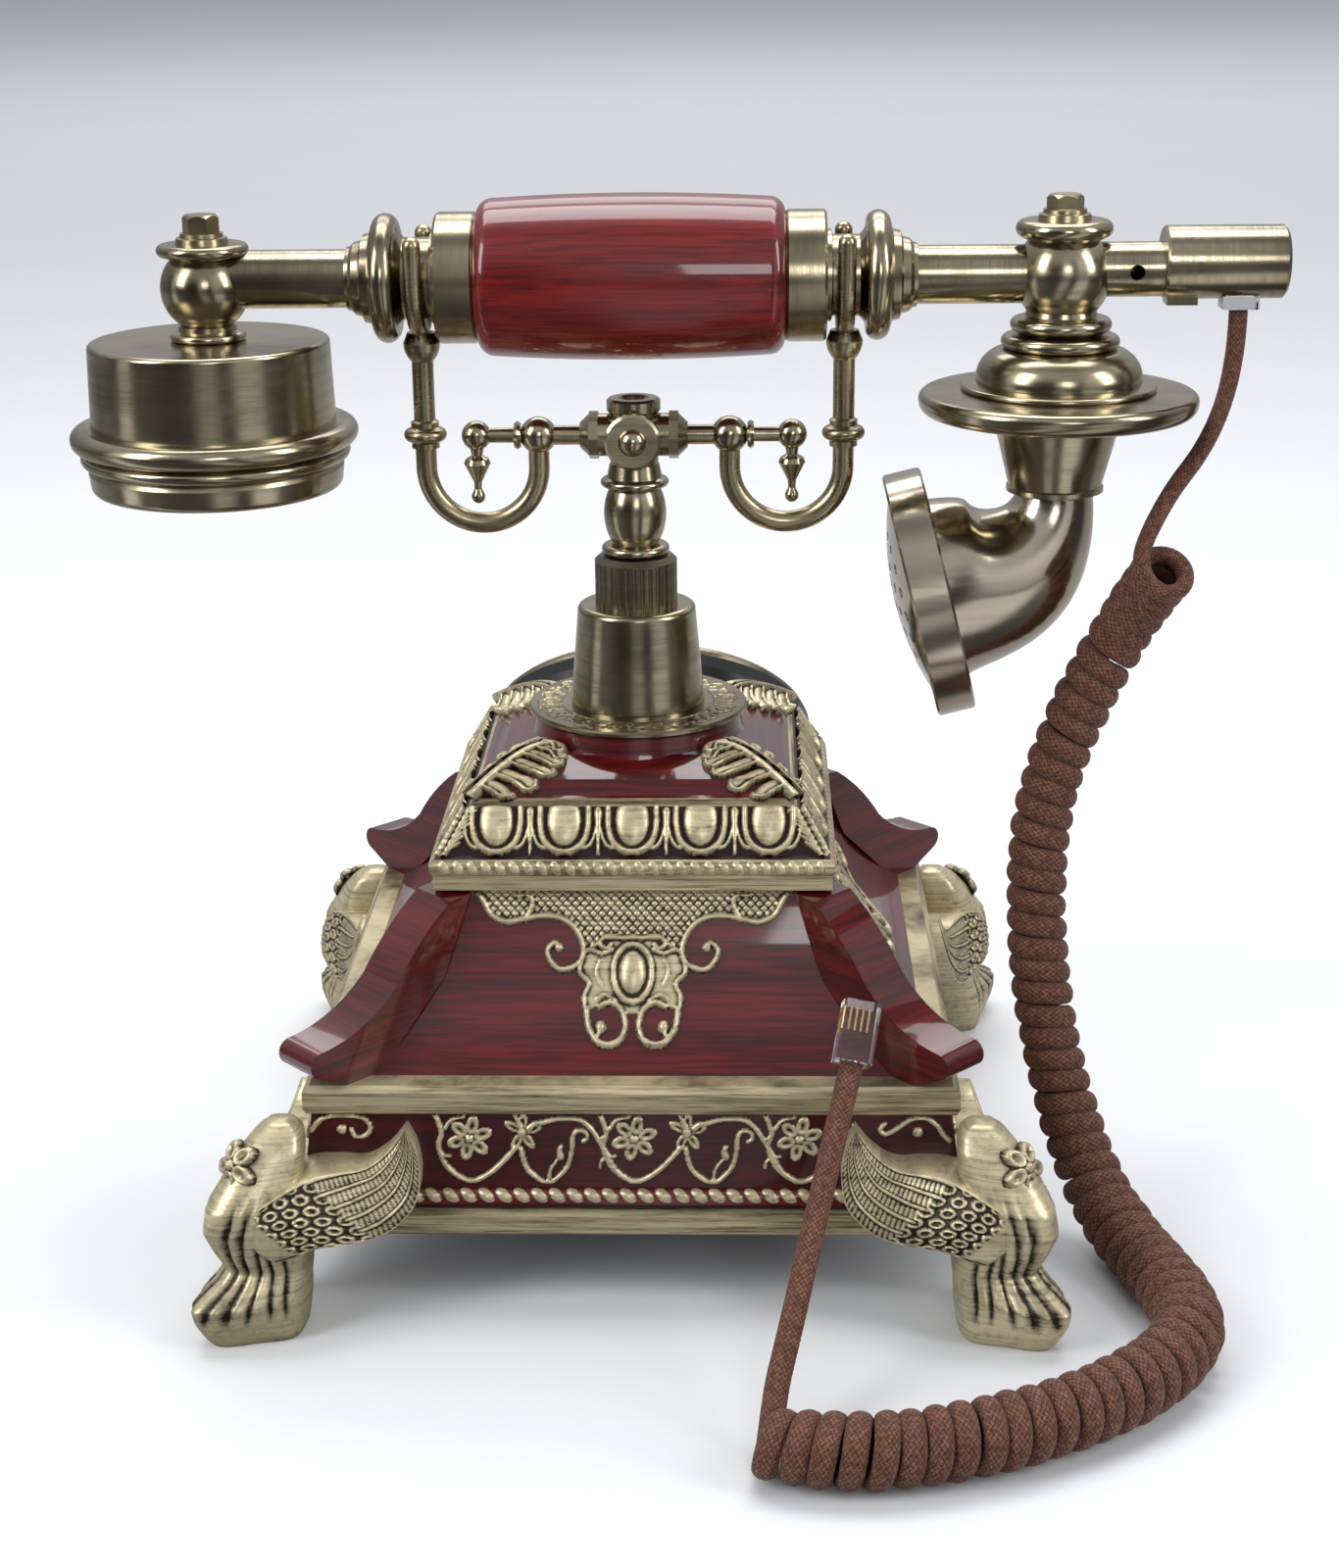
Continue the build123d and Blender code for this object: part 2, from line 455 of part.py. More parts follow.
parts["receiver_capsule"] = turned([
    (RING_FOOT - 2.0, 0), (RING_FOOT - 2.0, 20.5), (RING_FOOT + 6.0, 20.5), (RING_FOOT + 10.0, 12.0),
    (RING_FOOT + 10.0, 0)], -POST_X)


def hexagon_bolt(x, seat, top, foot):
    """Bolt with a stepped base and a hexagon head, its shank going down."""
    shape = turned([
        (foot, 0), (foot, BOLT_RADIUS), (seat, BOLT_RADIUS), (seat, 5.6), (seat + 1.2, 5.4),
        (seat + 1.4, 4.6),
        (seat + 2.2, 4.5), (seat + 2.2, 0)], x)
    hexagon = extrude(Pos(x, 0, seat + 2.2) * RegularPolygon(3.9, 6), top - seat - 2.2)
    dome = turned([(seat, 0), (seat, 6), (top - 1.0, 4.2), (top, 3.2), (top, 0)], x)
    return shape + (hexagon & dome)


bolts = [
    hexagon_bolt(-POST_X, H + 7.6, H + 13.6, CASE_TOP - 4.4),
    hexagon_bolt(POST_X, H + 11.2, H + 16.4, H - 6.4),
]
parts["post_bolts"] = Compound(bolts)

# ---------------------------------------------------------------- handset: transmitter, on the +X side
FLANGE_TOP = H - 12.6
CONE_SEAT = 13.4            # bore of the flange round the top of the cone
HORN_TOP = H - 46.6
post = turned([
    (FLANGE_TOP, 0), (FLANGE_TOP, 8.6), (H - 12.0, 9.4), (H - 9.0, 9.4, H - 10.5, 10.7), (H - 8.6, 7.6),
    (H - 7.6, 7.4),
    (H + 7.0, 7.4, H - 0.4, 10.2), (H + 7.6, 8.8), (H + 11.2, 8.6, H + 9.6, 10.1), (H + 11.2, 0)], POST_X)
post = post - rod_x(TUBE_RADIUS, 60, POST_X - 4.6) - rod(BOLT_RADIUS, H - 6.4, H + 20, POST_X)
SOCKET_TUBE_Z = H + 0.8
SOCKET_START = POST_X + 4.6
post = post - rod_x(5.7, SOCKET_START, 120, 0, SOCKET_TUBE_Z)
parts["transmitter_post"] = post
parts["transmitter_flange"] = turned([
    (H - 29.4, CONE_SEAT), (H - 29.4, 26.6), (H - 26.9, 29.6, H - 28.7, 28.9),
    (H - 24.7, 27.6, H - 25.2, 29.2),
    (H - 24.2, 20.4), (H - 23.0, 20.0, H - 23.6, 20.8), (H - 22.6, 17.6), (H - 15.4, 11.6, H - 17.8, 16.2),
    (H - 15.2, 12.0), (FLANGE_TOP, 11.0, H - 13.8, 12.5), (FLANGE_TOP, 0), (H - 14.6, 0), (H - 17.2, 9.6),
    (H - 24.0, CONE_SEAT)], POST_X)
CONE_FOOT = H - 44.8
parts["transmitter_cone"] = turned([
    (H - 24.0, 12.0), (H - 24.0, CONE_SEAT), (H - 29.4, CONE_SEAT), (H - 29.4, 13.9), (CONE_FOOT, 10.0),
    (CONE_FOOT - 0.3, 10.4), (CONE_FOOT - 1.3, 10.4), (HORN_TOP, 9.2), (HORN_TOP, 6.0), (CONE_FOOT, 6.0),
    (H - 29.4, 12.0)], POST_X)

HORN_AXIS = Vector(-sin(radians(HORN_TURN)), 0, -cos(radians(HORN_TURN)))
HORN_BEND = 20.0
HORN_STRAIGHT = 7.5
# Elbow's rings: how far it has turned, how far beyond the bend, radius.
HORN_RINGS = [
    (0, 0, 8.2), (18, 0, 9.9), (36, 0, 12.7), (55, 0, 15.6), (HORN_TURN, 0, 18.0), (HORN_TURN, HORN_STRAIGHT, 19.8),
]


def horn_point(turn, beyond=0.0):
    """Middle of the elbow after it has turned by an angle, then a straight stretch."""
    t = radians(turn)
    place = Vector(POST_X - HORN_BEND * (1 - cos(t)), 0, HORN_TOP - HORN_BEND * sin(t))
    return place + Vector(-sin(t), 0, -cos(t)) * beyond


def horn(wall):
    """Elbow that widens towards the mouth, made smaller all round by a wall."""
    rings = []
    for turn, beyond, radius in HORN_RINGS:
        t = radians(turn)
        ring_plane = Plane(origin=horn_point(turn, beyond), x_dir=(0, 1, 0), z_dir=(-sin(t), 0, -cos(t)))
        rings.append((ring_plane * Circle(radius - wall)).face())
    return loft(rings)


parts["transmitter_elbow"] = horn(0) - horn(1.6)
MOUTH_PLANE = Plane(origin=horn_point(HORN_TURN, HORN_STRAIGHT), x_dir=(0, 1, 0), z_dir=HORN_AXIS)
parts["mouthpiece_cup"] = MOUTH_PLANE.location * turned([
    (0, 18.6), (0, 26.5), (0.5, 27.0), (7.9, 27.0), (8.4, 26.5), (8.4, 23.6), (7.6, 22.4), (6.0, 22.4),
    (6.0, 20.4),
    (2.6, 20.4), (2.6, 18.6)])
grille = turned([(6.0, 0), (6.0, 22.2), (8.0, 22.2), cap(8.0, 22.2, 11.9)])
grille = grille - turned([(5.9, 0), (5.9, 20.4), (7.0, 20.4), cap(7.0, 20.4, 10.2)])
for ring_radius, count in ((0, 1), (5.0, 6), (10.0, 12), (15.0, 18)):
    for k in range(count):
        at = radians(k * 360 / count)
        grille = grille - rod(1.15, 0, 12, ring_radius * cos(at), ring_radius * sin(at))
parts["mouthpiece_grille"] = MOUTH_PLANE.location * grille
parts["microphone_capsule"] = MOUTH_PLANE.location * turned([
    (-4.0, 0), (-4.0, 12.0), (2.6, 12.0), (2.6, 19.8), (5.4, 19.8), (5.4, 0)])

SOCKET_Z = H + 2.2
SOCKET_RADIUS = 7.6
PLUG_X = UPPER_ROUTE[0][0]
SOCKET_FROM = 111.4
socket_tube = rod_x(5.7, SOCKET_START, SOCKET_FROM, 0, SOCKET_TUBE_Z)
socket_tube = socket_tube - rod_x(4.2, 90, 120, 0, SOCKET_TUBE_Z)
parts["socket_tube"] = socket_tube - rod_y(1.6, -10, 0, 105.4, SOCKET_TUBE_Z)
socket = turned_x([
    (SOCKET_FROM, 0), (SOCKET_FROM, 7.2), (SOCKET_FROM + 0.5, SOCKET_RADIUS), (136.2, SOCKET_RADIUS),
    (136.9, 6.8),
    (136.9, 0)], SOCKET_Z)
socket = socket + block((112.2, -3, SOCKET_Z - 8.6), (118.6, 3, SOCKET_Z - 6.0))
PLUG_FOOT = UPPER_ROUTE[0][2] + 0.5
PLUG_TOP = PLUG_FOOT + PLUG[2]
socket = socket - block((PLUG_X - PLUG[0] / 2 - 0.15, -PLUG[1] / 2 - 0.15, 190),
                        (PLUG_X + PLUG[0] / 2 + 0.15, PLUG[1] / 2 + 0.15, PLUG_TOP + 0.4))
parts["cord_socket"] = socket

# ---------------------------------------------------------------- dial, on its own tilted plane
DIAL = DIAL_PLANE.location
case = turned([(-26.0, 8.9)] + CASE_OUTSIDE + [(0, 36.2),
    (-4.0, 36.2), (-20.0, 27.0, -13.0, 33.4), (-22.5, 26.0), (-22.5, 8.9)])
parts["dial_case"] = DIAL * case
SHAFT_RADIUS = 2.5
HUB_BORE = SHAFT_RADIUS + RUNNING
parts["dial_bezel"] = DIAL * turned([
    (0, 34.6), (0, 38.8), (1.0, 39.0), (2.4, 38.4, 2.0, 39.0), (3.0, 36.8, 3.1, 37.8), (2.0, 34.6)])
parts["dial_number_plate"] = DIAL * turned([(-3.0, 6.0), (-3.0, 36.0), (-1.6, 36.0), (-1.6, 6.0)])
parts["dial_mechanism"] = DIAL * turned([
    (-21.0, HUB_BORE), (-21.0, 22.0), (-4.6, 22.0), (-4.6, 30.0), (-3.0, 30.0), (-3.0, 6.0), (-1.4, 6.0),
    (-1.4, HUB_BORE)])
WHEEL_FLOOR, WHEEL_LID = -0.6, 0.9
HOLE_CIRCLE, HOLE_RADIUS = 25.0, 6.0
FIRST_HOLE, HOLE_STEP = 39, 29
wheel = turned([
    (WHEEL_FLOOR, SHAFT_RADIUS), (WHEEL_FLOOR, 33.4), (WHEEL_LID - 0.4, 33.6), (WHEEL_LID, 33.0),
    (WHEEL_LID, SHAFT_RADIUS)])
for k in range(FINGER_HOLES):
    at = radians(FIRST_HOLE + k * HOLE_STEP)
    wheel = wheel - rod(HOLE_RADIUS, -5, 5, HOLE_CIRCLE * cos(at), HOLE_CIRCLE * sin(at))
parts["finger_wheel"] = DIAL * wheel
parts["dial_spindle"] = DIAL * turned([
    (-20.5, 0), (-20.5, SHAFT_RADIUS), (WHEEL_LID, SHAFT_RADIUS), (WHEEL_LID, 13.0),
    (1.9, 12.6), cap(1.9, 12.6, 3.5)])
STOP_FLOOR, STOP_LID = WHEEL_LID + 0.6, WHEEL_LID + 1.5
stop = block((19.0, -2.2, STOP_FLOOR), (37.0, 2.2, STOP_LID)) + rod(2.2, STOP_FLOOR, STOP_LID, 19.0, 0)
stop = Rot(0, 0, -30) * (stop + block((35.2, -2.2, 0.2), (37.0, 2.2, STOP_LID)))
stop = (DIAL * stop) - parts["dial_bezel"]
parts["finger_stop"] = stop.solids().sort_by(SortBy.VOLUME)[-1]

# ---------------------------------------------------------------- cord and its two plugs
plug = block((-PLUG[0] / 2, -PLUG[1] / 2, 0), (PLUG[0] / 2, PLUG[1] / 2, PLUG[2]))
plug = chamfer(plug.edges().filter_by(Axis.Z), 0.4)
parts["cord_plug_handset"] = Pos(PLUG_X, 0, PLUG_FOOT) * plug
parts["cord_lead_upper"] = bent_tube("upper lead", UPPER_ROUTE, CORD_RADIUS)
parts["cord_coil"] = bent_tube("coil", COIL_ROUTE, COIL_RADIUS)
parts["cord_lead_lower"] = bent_tube("lower lead", LOWER_ROUTE, CORD_RADIUS)
parts["cord_plug_far"] = Plane(origin=LOWER_ROUTE[-1], x_dir=(1, 0, -0.2), z_dir=PLUG_LEAN).location * plug

os.makedirs("parts", exist_ok=True)
for name, shape in parts.items():
    export_step(shape, f"parts/{name}.step")
print(len(parts), "nodes")
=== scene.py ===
"""French-style cradle telephone: the visual model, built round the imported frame."""

from math import atan2, copysign, cos, pi, radians, sin, sqrt, tau

import bmesh
import bpy
import numpy as np
from mathutils import Matrix, Vector
from mathutils.bvhtree import BVHTree


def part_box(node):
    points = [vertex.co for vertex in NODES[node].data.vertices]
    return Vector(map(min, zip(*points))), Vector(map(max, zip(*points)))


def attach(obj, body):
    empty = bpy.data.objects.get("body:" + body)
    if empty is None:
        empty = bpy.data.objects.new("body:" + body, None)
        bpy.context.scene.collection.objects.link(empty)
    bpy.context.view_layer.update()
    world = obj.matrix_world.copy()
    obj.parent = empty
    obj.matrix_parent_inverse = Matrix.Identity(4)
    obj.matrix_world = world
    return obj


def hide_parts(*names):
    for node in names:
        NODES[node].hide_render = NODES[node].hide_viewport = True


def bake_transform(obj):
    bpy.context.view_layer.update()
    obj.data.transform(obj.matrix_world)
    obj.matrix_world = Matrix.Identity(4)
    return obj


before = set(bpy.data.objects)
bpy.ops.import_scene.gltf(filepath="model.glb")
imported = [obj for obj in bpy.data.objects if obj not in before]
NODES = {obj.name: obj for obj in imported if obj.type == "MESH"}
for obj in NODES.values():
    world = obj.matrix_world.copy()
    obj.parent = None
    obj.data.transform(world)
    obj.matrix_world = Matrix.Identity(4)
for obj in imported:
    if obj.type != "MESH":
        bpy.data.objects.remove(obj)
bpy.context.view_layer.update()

MM = 0.001


def linked(name, data):
    """A new object in the scene, with this data."""
    made = bpy.data.objects.new(name, data)
    bpy.context.scene.collection.objects.link(made)
    return made


# ---- camera

camera_lens = bpy.data.cameras.new("camera")
camera_lens.lens = 58.5
camera_lens.sensor_width = 36
camera_lens.clip_start = 0.01
camera = linked("camera", camera_lens)
PAN, TILT, ROLL = (radians(angle) for angle in (1.786, 70.82, -0.663))
camera.matrix_world = (
    Matrix.Translation((0.0237, -0.5424, 0.2814))
    @ Matrix.Rotation(PAN, 4, "Z")
    @ Matrix.Rotation(TILT, 4, "X")
    @ Matrix.Rotation(ROLL, 4, "Z")
)
bpy.context.scene.camera = camera

# ---- mesh helpers


def made_object(name, vertices, faces, loops_uv=None):
    """A smooth mesh object from arrays of vertices in metres and of faces."""
    mesh = bpy.data.meshes.new(name)
    mesh.from_pydata([tuple(v) for v in vertices], [], [tuple(f) for f in faces])
    mesh.shade_smooth()
    if loops_uv is not None:
        layer = mesh.uv_layers.new(name="lengths")
        layer.data.foreach_set("uv", np.asarray(loops_uv, dtype=np.float32).ravel())
    mesh.update()
    return linked(name, mesh)


def unit(vectors):
    return vectors / np.linalg.norm(vectors, axis=-1, keepdims=True)


def walked(line):
    """How far along the line each of its points is."""
    return np.append(0, np.cumsum(np.linalg.norm(np.diff(line[:, :3], axis=0), axis=1)))


SAME_POINT = 1e-7


def resampled(line, spacing):
    """The same polyline with its points that far apart, and any further columns carried along."""
    line = line[np.append(True, np.diff(walked(line)) > SAME_POINT)]
    along = walked(line)
    places = np.linspace(0, along[-1], int(round(along[-1] / spacing)) + 1)
    return np.stack([np.interp(places, along, values) for values in line.T], axis=1)


def spline_line(points, spacing):
    """Points along the NURBS spline that has these control points, in millimetres."""
    data = bpy.data.curves.new("route", "CURVE")
    data.dimensions = "3D"
    data.resolution_u = 32
    spline = data.splines.new("NURBS")
    spline.points.add(len(points) - 1)
    for point, place in zip(spline.points, points):
        point.co = (place[0] * MM, place[1] * MM, place[2] * MM, 1)
    spline.order_u = 3
    spline.use_endpoint_u = True
    route = bpy.data.objects.new("route", data)
    mesh = bpy.data.meshes.new_from_object(route)
    line = np.array([vertex.co[:] for vertex in mesh.vertices])
    bpy.data.objects.remove(route)
    bpy.data.meshes.remove(mesh)
    bpy.data.curves.remove(data)
    return resampled(line, spacing)


def carried_sides(line, first_side):
    """Two sides at right angles to the line, that turn as little as they can along it."""
    tangents = unit(np.gradient(line, axis=0))
    side = np.asarray(first_side, dtype=float)
    sides = np.empty_like(line)
    for k, tangent in enumerate(tangents):
        side = unit(side - tangent * np.dot(side, tangent))
        sides[k] = side
    return sides, np.cross(tangents, sides)


# ---- cord

CORD_WIDTH = 5.0 * MM
CORD_THICKNESS = 3.6 * MM
COIL_PITCH = 5.0 * MM
HANGING_RADIUS = 4.95 * MM
LYING_RADIUS = 5.7 * MM
RING_SPACING = 0.5 * MM
CORD_SIDES = 28

UPPER_ROUTE = [(127.7, 0, 198.1), (127.7, -1, 187), (121.8, -10, 172.5), (111, -15.5, 160),
               (106.7, -21, 151.5)]
COIL_ROUTE = [
    (111.4, -25, 148.4), (108.8, -12, 139.2), (97.6, -11, 117.5), (89.5, -13.5, 96), (87.4, -18, 76),
    (88.8, -24, 53), (93.5, -31, 31), (100, -42, 13.2), (106.5, -57, 7.6), (112.6, -75, 7.6),
    (114, -92, 7.6), (104, -107.5, 7.6), (86, -121.5, 7.6), (63, -131.5, 7.6), (41, -135.5, 7.6),
    (27, -131.5, 7.6),
]
LOWER_ROUTE = [(28.4, -126, 5.2), (29.4, -119.5, 11.2), (31.7, -113, 17.2), (38, -92.5, 35),
               (45.5, -69.5, 56.4)]
COIL_START_SIDE = (-1, 0, 0)
COIL_END_SIDE = (0.16, 0.58, -0.77)
COIL_SPACING = 0.06 * MM
# Shares of the coil's length: where it starts to lie down, and over how much it does so and draws in at its end.
LYING_FROM, LYING_OVER, END_OVER = 0.40, 0.14, 0.05
# Points cut from each line's end, so that the bridges between them have room to bend.
UPPER_TRIM, LOWER_TRIM, COIL_TRIM = 8, 4, 5
SMOOTHINGS = 10


def coil_line(axis):
    """The curly cord's helix round its axis, and which way is outward at each point of it."""
    sides, others = carried_sides(axis, COIL_START_SIDE)
    along = np.linspace(0, 1, len(axis))
    end_angle = atan2(np.dot(COIL_END_SIDE, others[-1]), np.dot(COIL_END_SIDE, sides[-1]))
    angle = end_angle - tau * round(walked(axis)[-1] / COIL_PITCH)
    swell = 1 + 0.012 * np.sin(along * 61) + 0.012 * np.sin(along * 143 + 1)
    lying = np.clip((along - LYING_FROM) / LYING_OVER, 0, 1)
    lying = lying * lying * (3 - 2 * lying)
    last = np.clip((along - 1 + END_OVER) / END_OVER, 0, 1)
    reach = (HANGING_RADIUS + (LYING_RADIUS - HANGING_RADIUS) * lying) * (swell - 0.10 * last)
    uneven = along + 0.0005 * np.sin(along * 97) + 0.0004 * np.sin(along * 211 + 2)
    uneven = (uneven - uneven[0]) / (uneven[-1] - uneven[0])
    outward = np.cos(angle * uneven)[:, None] * sides + np.sin(angle * uneven)[:, None] * others
    return axis + reach[:, None] * outward, outward


def bridge(first, second, count=24):
    """A curve from the end of one line to the start of the next, in line with both."""
    start, end = first[-1], second[0]
    gap = np.linalg.norm(end - start)
    leave = gap * unit(first[-1] - first[-3])
    arrive = gap * unit(second[2] - second[0])
    t = np.linspace(0, 1, count)[1:-1, None]
    return (
        (2 * t**3 - 3 * t**2 + 1) * start
        + (t**3 - 2 * t**2 + t) * leave
        + (3 * t**2 - 2 * t**3) * end
        + (t**3 - t**2) * arrive
    )


def cord_path():
    """The cord's centreline from the handset's plug to the loose plug, and its outward sides."""
    upper = spline_line(UPPER_ROUTE, RING_SPACING)[:-UPPER_TRIM]
    lower = spline_line(LOWER_ROUTE, RING_SPACING)[LOWER_TRIM:]
    coil, outward = (rows[COIL_TRIM:-COIL_TRIM] for rows in coil_line(spline_line(COIL_ROUTE, COIL_SPACING)))
    before = np.concatenate([upper, bridge(upper, coil)])
    after = np.concatenate([bridge(coil, lower), lower])
    line = np.concatenate([before, coil, after])
    first, last = np.tile(outward[0], (len(before), 1)), np.tile(outward[-1], (len(after), 1))
    thin = np.concatenate([first, outward, last])
    both = resampled(np.hstack([line, thin]), RING_SPACING)
    for _ in range(SMOOTHINGS):
        both[1:-1] = both[1:-1] * 0.5 + (both[:-2] + both[2:]) * 0.25
    return both[:, :3], both[:, 3:]


def tube(name, path, thin_side, thin, wide, sides, relief):
    """A closed tube round a path, oval if thin and wide differ. Its UV is turns, and metres along."""
    tangents = unit(np.gradient(path, axis=0))
    first = unit(thin_side - tangents * (thin_side * tangents).sum(axis=1)[:, None])
    second = np.cross(tangents, first)
    angles = np.arange(sides) * tau / sides
    along = walked(path)
    extra = relief(*np.meshgrid(np.arange(sides) / sides, along))
    rings = (
        path[:, None, :]
        + ((thin + extra) * np.cos(angles))[..., None] * first[:, None, :]
        + ((wide + extra) * np.sin(angles))[..., None] * second[:, None, :]
    )
    last = len(path) - 1
    ring, side = (grid.ravel() for grid in np.meshgrid(np.arange(last), np.arange(sides), indexing="ij"))
    corners = ((0, 0), (0, 1), (1, 1), (1, 0))
    faces = np.stack([(ring + a) * sides + (side + b) % sides for a, b in corners], axis=1)
    uv = np.stack([np.stack([(side + b) / sides, along[ring + a]], axis=1) for a, b in corners], axis=1)
    ends = [list(range(sides))[::-1], [last * sides + k for k in range(sides)]]
    uv = np.concatenate([uv.reshape(-1, 2), np.zeros((2 * sides, 2))])
    return made_object(name, rings.reshape(-1, 3), faces.tolist() + ends, uv)


BRAID_THREADS = 14
BRAID_STEP = 1.15 * MM
BRAID_HEIGHT = 0.05 * MM


def braid(turn, along):
    """Height of the braid's threads over the cord's core."""
    one = turn * BRAID_THREADS + along / BRAID_STEP
    two = turn * BRAID_THREADS - along / BRAID_STEP
    return BRAID_HEIGHT * (np.abs(np.sin(pi * one)) + np.abs(np.sin(pi * two)) - 2)


cord_line, cord_outward = cord_path()
cord = tube("curly_cord", cord_line, cord_outward, CORD_THICKNESS / 2, CORD_WIDTH / 2, CORD_SIDES, braid)
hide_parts("cord_lead_upper", "cord_coil", "cord_lead_lower")

# ---- materials


class Nodes:
    """Short ways to add nodes to a tree."""

    def __init__(self, tree):
        self.tree = tree

    def put(self, socket, value):
        """Links a socket to this input, or sets a value there."""
        if isinstance(value, bpy.types.NodeSocket):
            self.tree.links.new(value, socket)
        else:
            socket.default_value = (*value, 1) if socket.type == "RGBA" else value

    def node(self, kind, inputs=(), output=0, **settings):
        made = self.tree.nodes.new("ShaderNode" + kind)
        for key, value in settings.items():
            setattr(made, key, value)
        for key, value in dict(inputs).items():
            self.put(made.inputs[key], value)
        return made.outputs[output]

    def math(self, operation, *values, clamp=False):
        return self.node("Math", dict(enumerate(values)), operation=operation, use_clamp=clamp)

    def mix(self, factor, first, second, blend="MIX"):
        inputs = {0: factor, 6: first, 7: second}
        return self.node("Mix", inputs, output=2, data_type="RGBA", blend_type=blend)

    def ramp(self, value, stops):
        """A grey ramp over a value, from pairs of place and brightness."""
        colour = self.node("ValToRGB", {0: value})
        elements = colour.node.color_ramp.elements
        while len(elements) < len(stops):
            elements.new(0.5)
        for element, (place, grey) in zip(elements, stops):
            element.position = place
            element.color = (grey, grey, grey * 1.03, 1)
        return colour


SOCKETS = {
    "colour": "Base Color", "metal": "Metallic", "rough": "Roughness", "specular": "Specular IOR Level",
    "coat": "Coat Weight", "coat_rough": "Coat Roughness", "clear": "Transmission Weight", "ior": "IOR",
    "sheen": "Sheen Weight",
}


class Finish(Nodes):
    """A procedural material."""

    def __init__(self, name, **values):
        self.material = bpy.data.materials.new(name)
        self.material.use_nodes = True
        super().__init__(self.material.node_tree)
        self.shader = self.tree.nodes["Principled BSDF"]
        for words, value in values.items():
            self.set(words, value)

    def set(self, words, value):
        """Puts a value or a socket on the shader's input of that name."""
        self.put(self.shader.inputs[SOCKETS[words]], value)

    def place(self, stretch=(1, 1, 1)):
        """Object coordinates in millimetres, times stretch."""
        source = self.node("TexCoord", output="Object")
        return self.node("VectorMath", {0: source, 1: tuple(k / MM for k in stretch)}, operation="MULTIPLY")

    def noise(self, stretch, scale=1.0, detail=3.0, roughness=0.55, distortion=0.0):
        inputs = {"Vector": self.place(stretch), "Scale": scale, "Detail": detail}
        return self.node("TexNoise", {**inputs, "Roughness": roughness, "Distortion": distortion})

    def spread(self, value, low, high):
        """Value from low to high, brought to 0 to 1 and smoothed."""
        inputs = {"Value": value, "From Min": low, "From Max": high}
        return self.node("MapRange", inputs, interpolation_type="SMOOTHSTEP")

    def between(self, value, low, high):
        """Low where the value is 0, high where it is 1."""
        return self.node("MapRange", {"Value": value, "To Min": low, "To Max": high})

    def bump(self, height, strength, distance):
        normal = self.node("Bump", {"Height": height, "Strength": strength, "Distance": distance * MM})
        self.put(self.shader.inputs["Normal"], normal)

    def on(self, *names):
        """Paints these CAD nodes."""
        for name in names:
            slots = NODES[name].material_slots
            for slot in slots:
                slot.material = self.material
            if not slots:
                NODES[name].data.materials.append(self.material)


def brushed_metal(name, across, light, dark, rough, lines=1.0, tarnish=0.5):
    """Metal with fine lines that run at right angles to across, and darker patches."""
    finish = Finish(name, metal=1.0)
    stretch = tuple(1.0 if k == across else 0.03 for k in "xyz")
    fine = finish.noise(stretch, 5.0, 2.0, 0.7)
    broad = finish.noise(tuple(0.12 * k for k in stretch), 4.0, 2.0)
    patch = finish.spread(finish.noise((0.05, 0.05, 0.05), 1.0, 3.0), 0.35, 0.75)
    streak = finish.spread(finish.math("MULTIPLY", finish.math("ADD", fine, broad), 0.5), 0.3, 0.7)
    worn = finish.math("MULTIPLY", patch, tarnish)
    shade = finish.math("ADD", finish.math("MULTIPLY", streak, 0.35 * lines), worn, clamp=True)
    finish.set("colour", finish.mix(shade, light, dark))
    finish.set("rough", finish.math("MULTIPLY_ADD", streak, 0.12, rough))
    finish.bump(fine, 0.12 * lines, 0.05)
    return finish


BRASS_LIGHT = (0.47, 0.41, 0.28)
BRASS_DARK = (0.10, 0.082, 0.048)

brushed_metal("brass_turned_upright", "z", BRASS_LIGHT, BRASS_DARK, 0.15).on(
    "pillar_cone", "receiver_case", "transmitter_cone", "receiver_cap", "receiver_ring",
    "transmitter_flange", "transmitter_post", "receiver_post", "cradle_baluster", "cross_head", "arm_nuts",
    "cradle_post", "top_plate")
brushed_metal("brass_turned_level", "x", BRASS_LIGHT, BRASS_DARK, 0.14).on(
    "grip_ferrules", "handset_necks", "handset_tubes", "cord_socket", "socket_tube", "cradle_arms", "tie_tube")
brushed_metal("brass_hooks", "z", (0.44, 0.37, 0.23), BRASS_DARK, 0.22, 0.4).on(
    "hook_left", "hook_right", "post_bolts")
brushed_metal("brass_polished", "z", (0.55, 0.48, 0.38), (0.22, 0.18, 0.13), 0.10, 0.4, 0.3).on(
    "transmitter_elbow", "mouthpiece_cup", "mouthpiece_grille")
brushed_metal("brass_knurled", "z", (0.20, 0.17, 0.11), (0.06, 0.05, 0.04), 0.32).on("knurled_collar")


def lacquer(name, across, red, deep):
    """Wood grain under a thick clear coat."""
    finish = Finish(name, rough=0.35, coat=0.8, coat_rough=0.05, specular=0.25)
    stretch = tuple(1.0 if k in across else 0.035 for k in "xyz")
    grain = finish.noise(stretch, 1.6, 5.0, 0.65, 0.4)
    broad = finish.noise(tuple(k * 0.2 for k in stretch), 1.0, 3.0)
    shade = finish.spread(finish.math("ADD", grain, finish.math("MULTIPLY", broad, 0.6)), 0.55, 1.05)
    finish.wood = finish.mix(shade, deep, red)
    finish.set("colour", finish.wood)
    return finish


lacquer("lacquered_grip", "yz", (0.17, 0.0045, 0.005), (0.055, 0.0015, 0.002)).on("handset_grip")


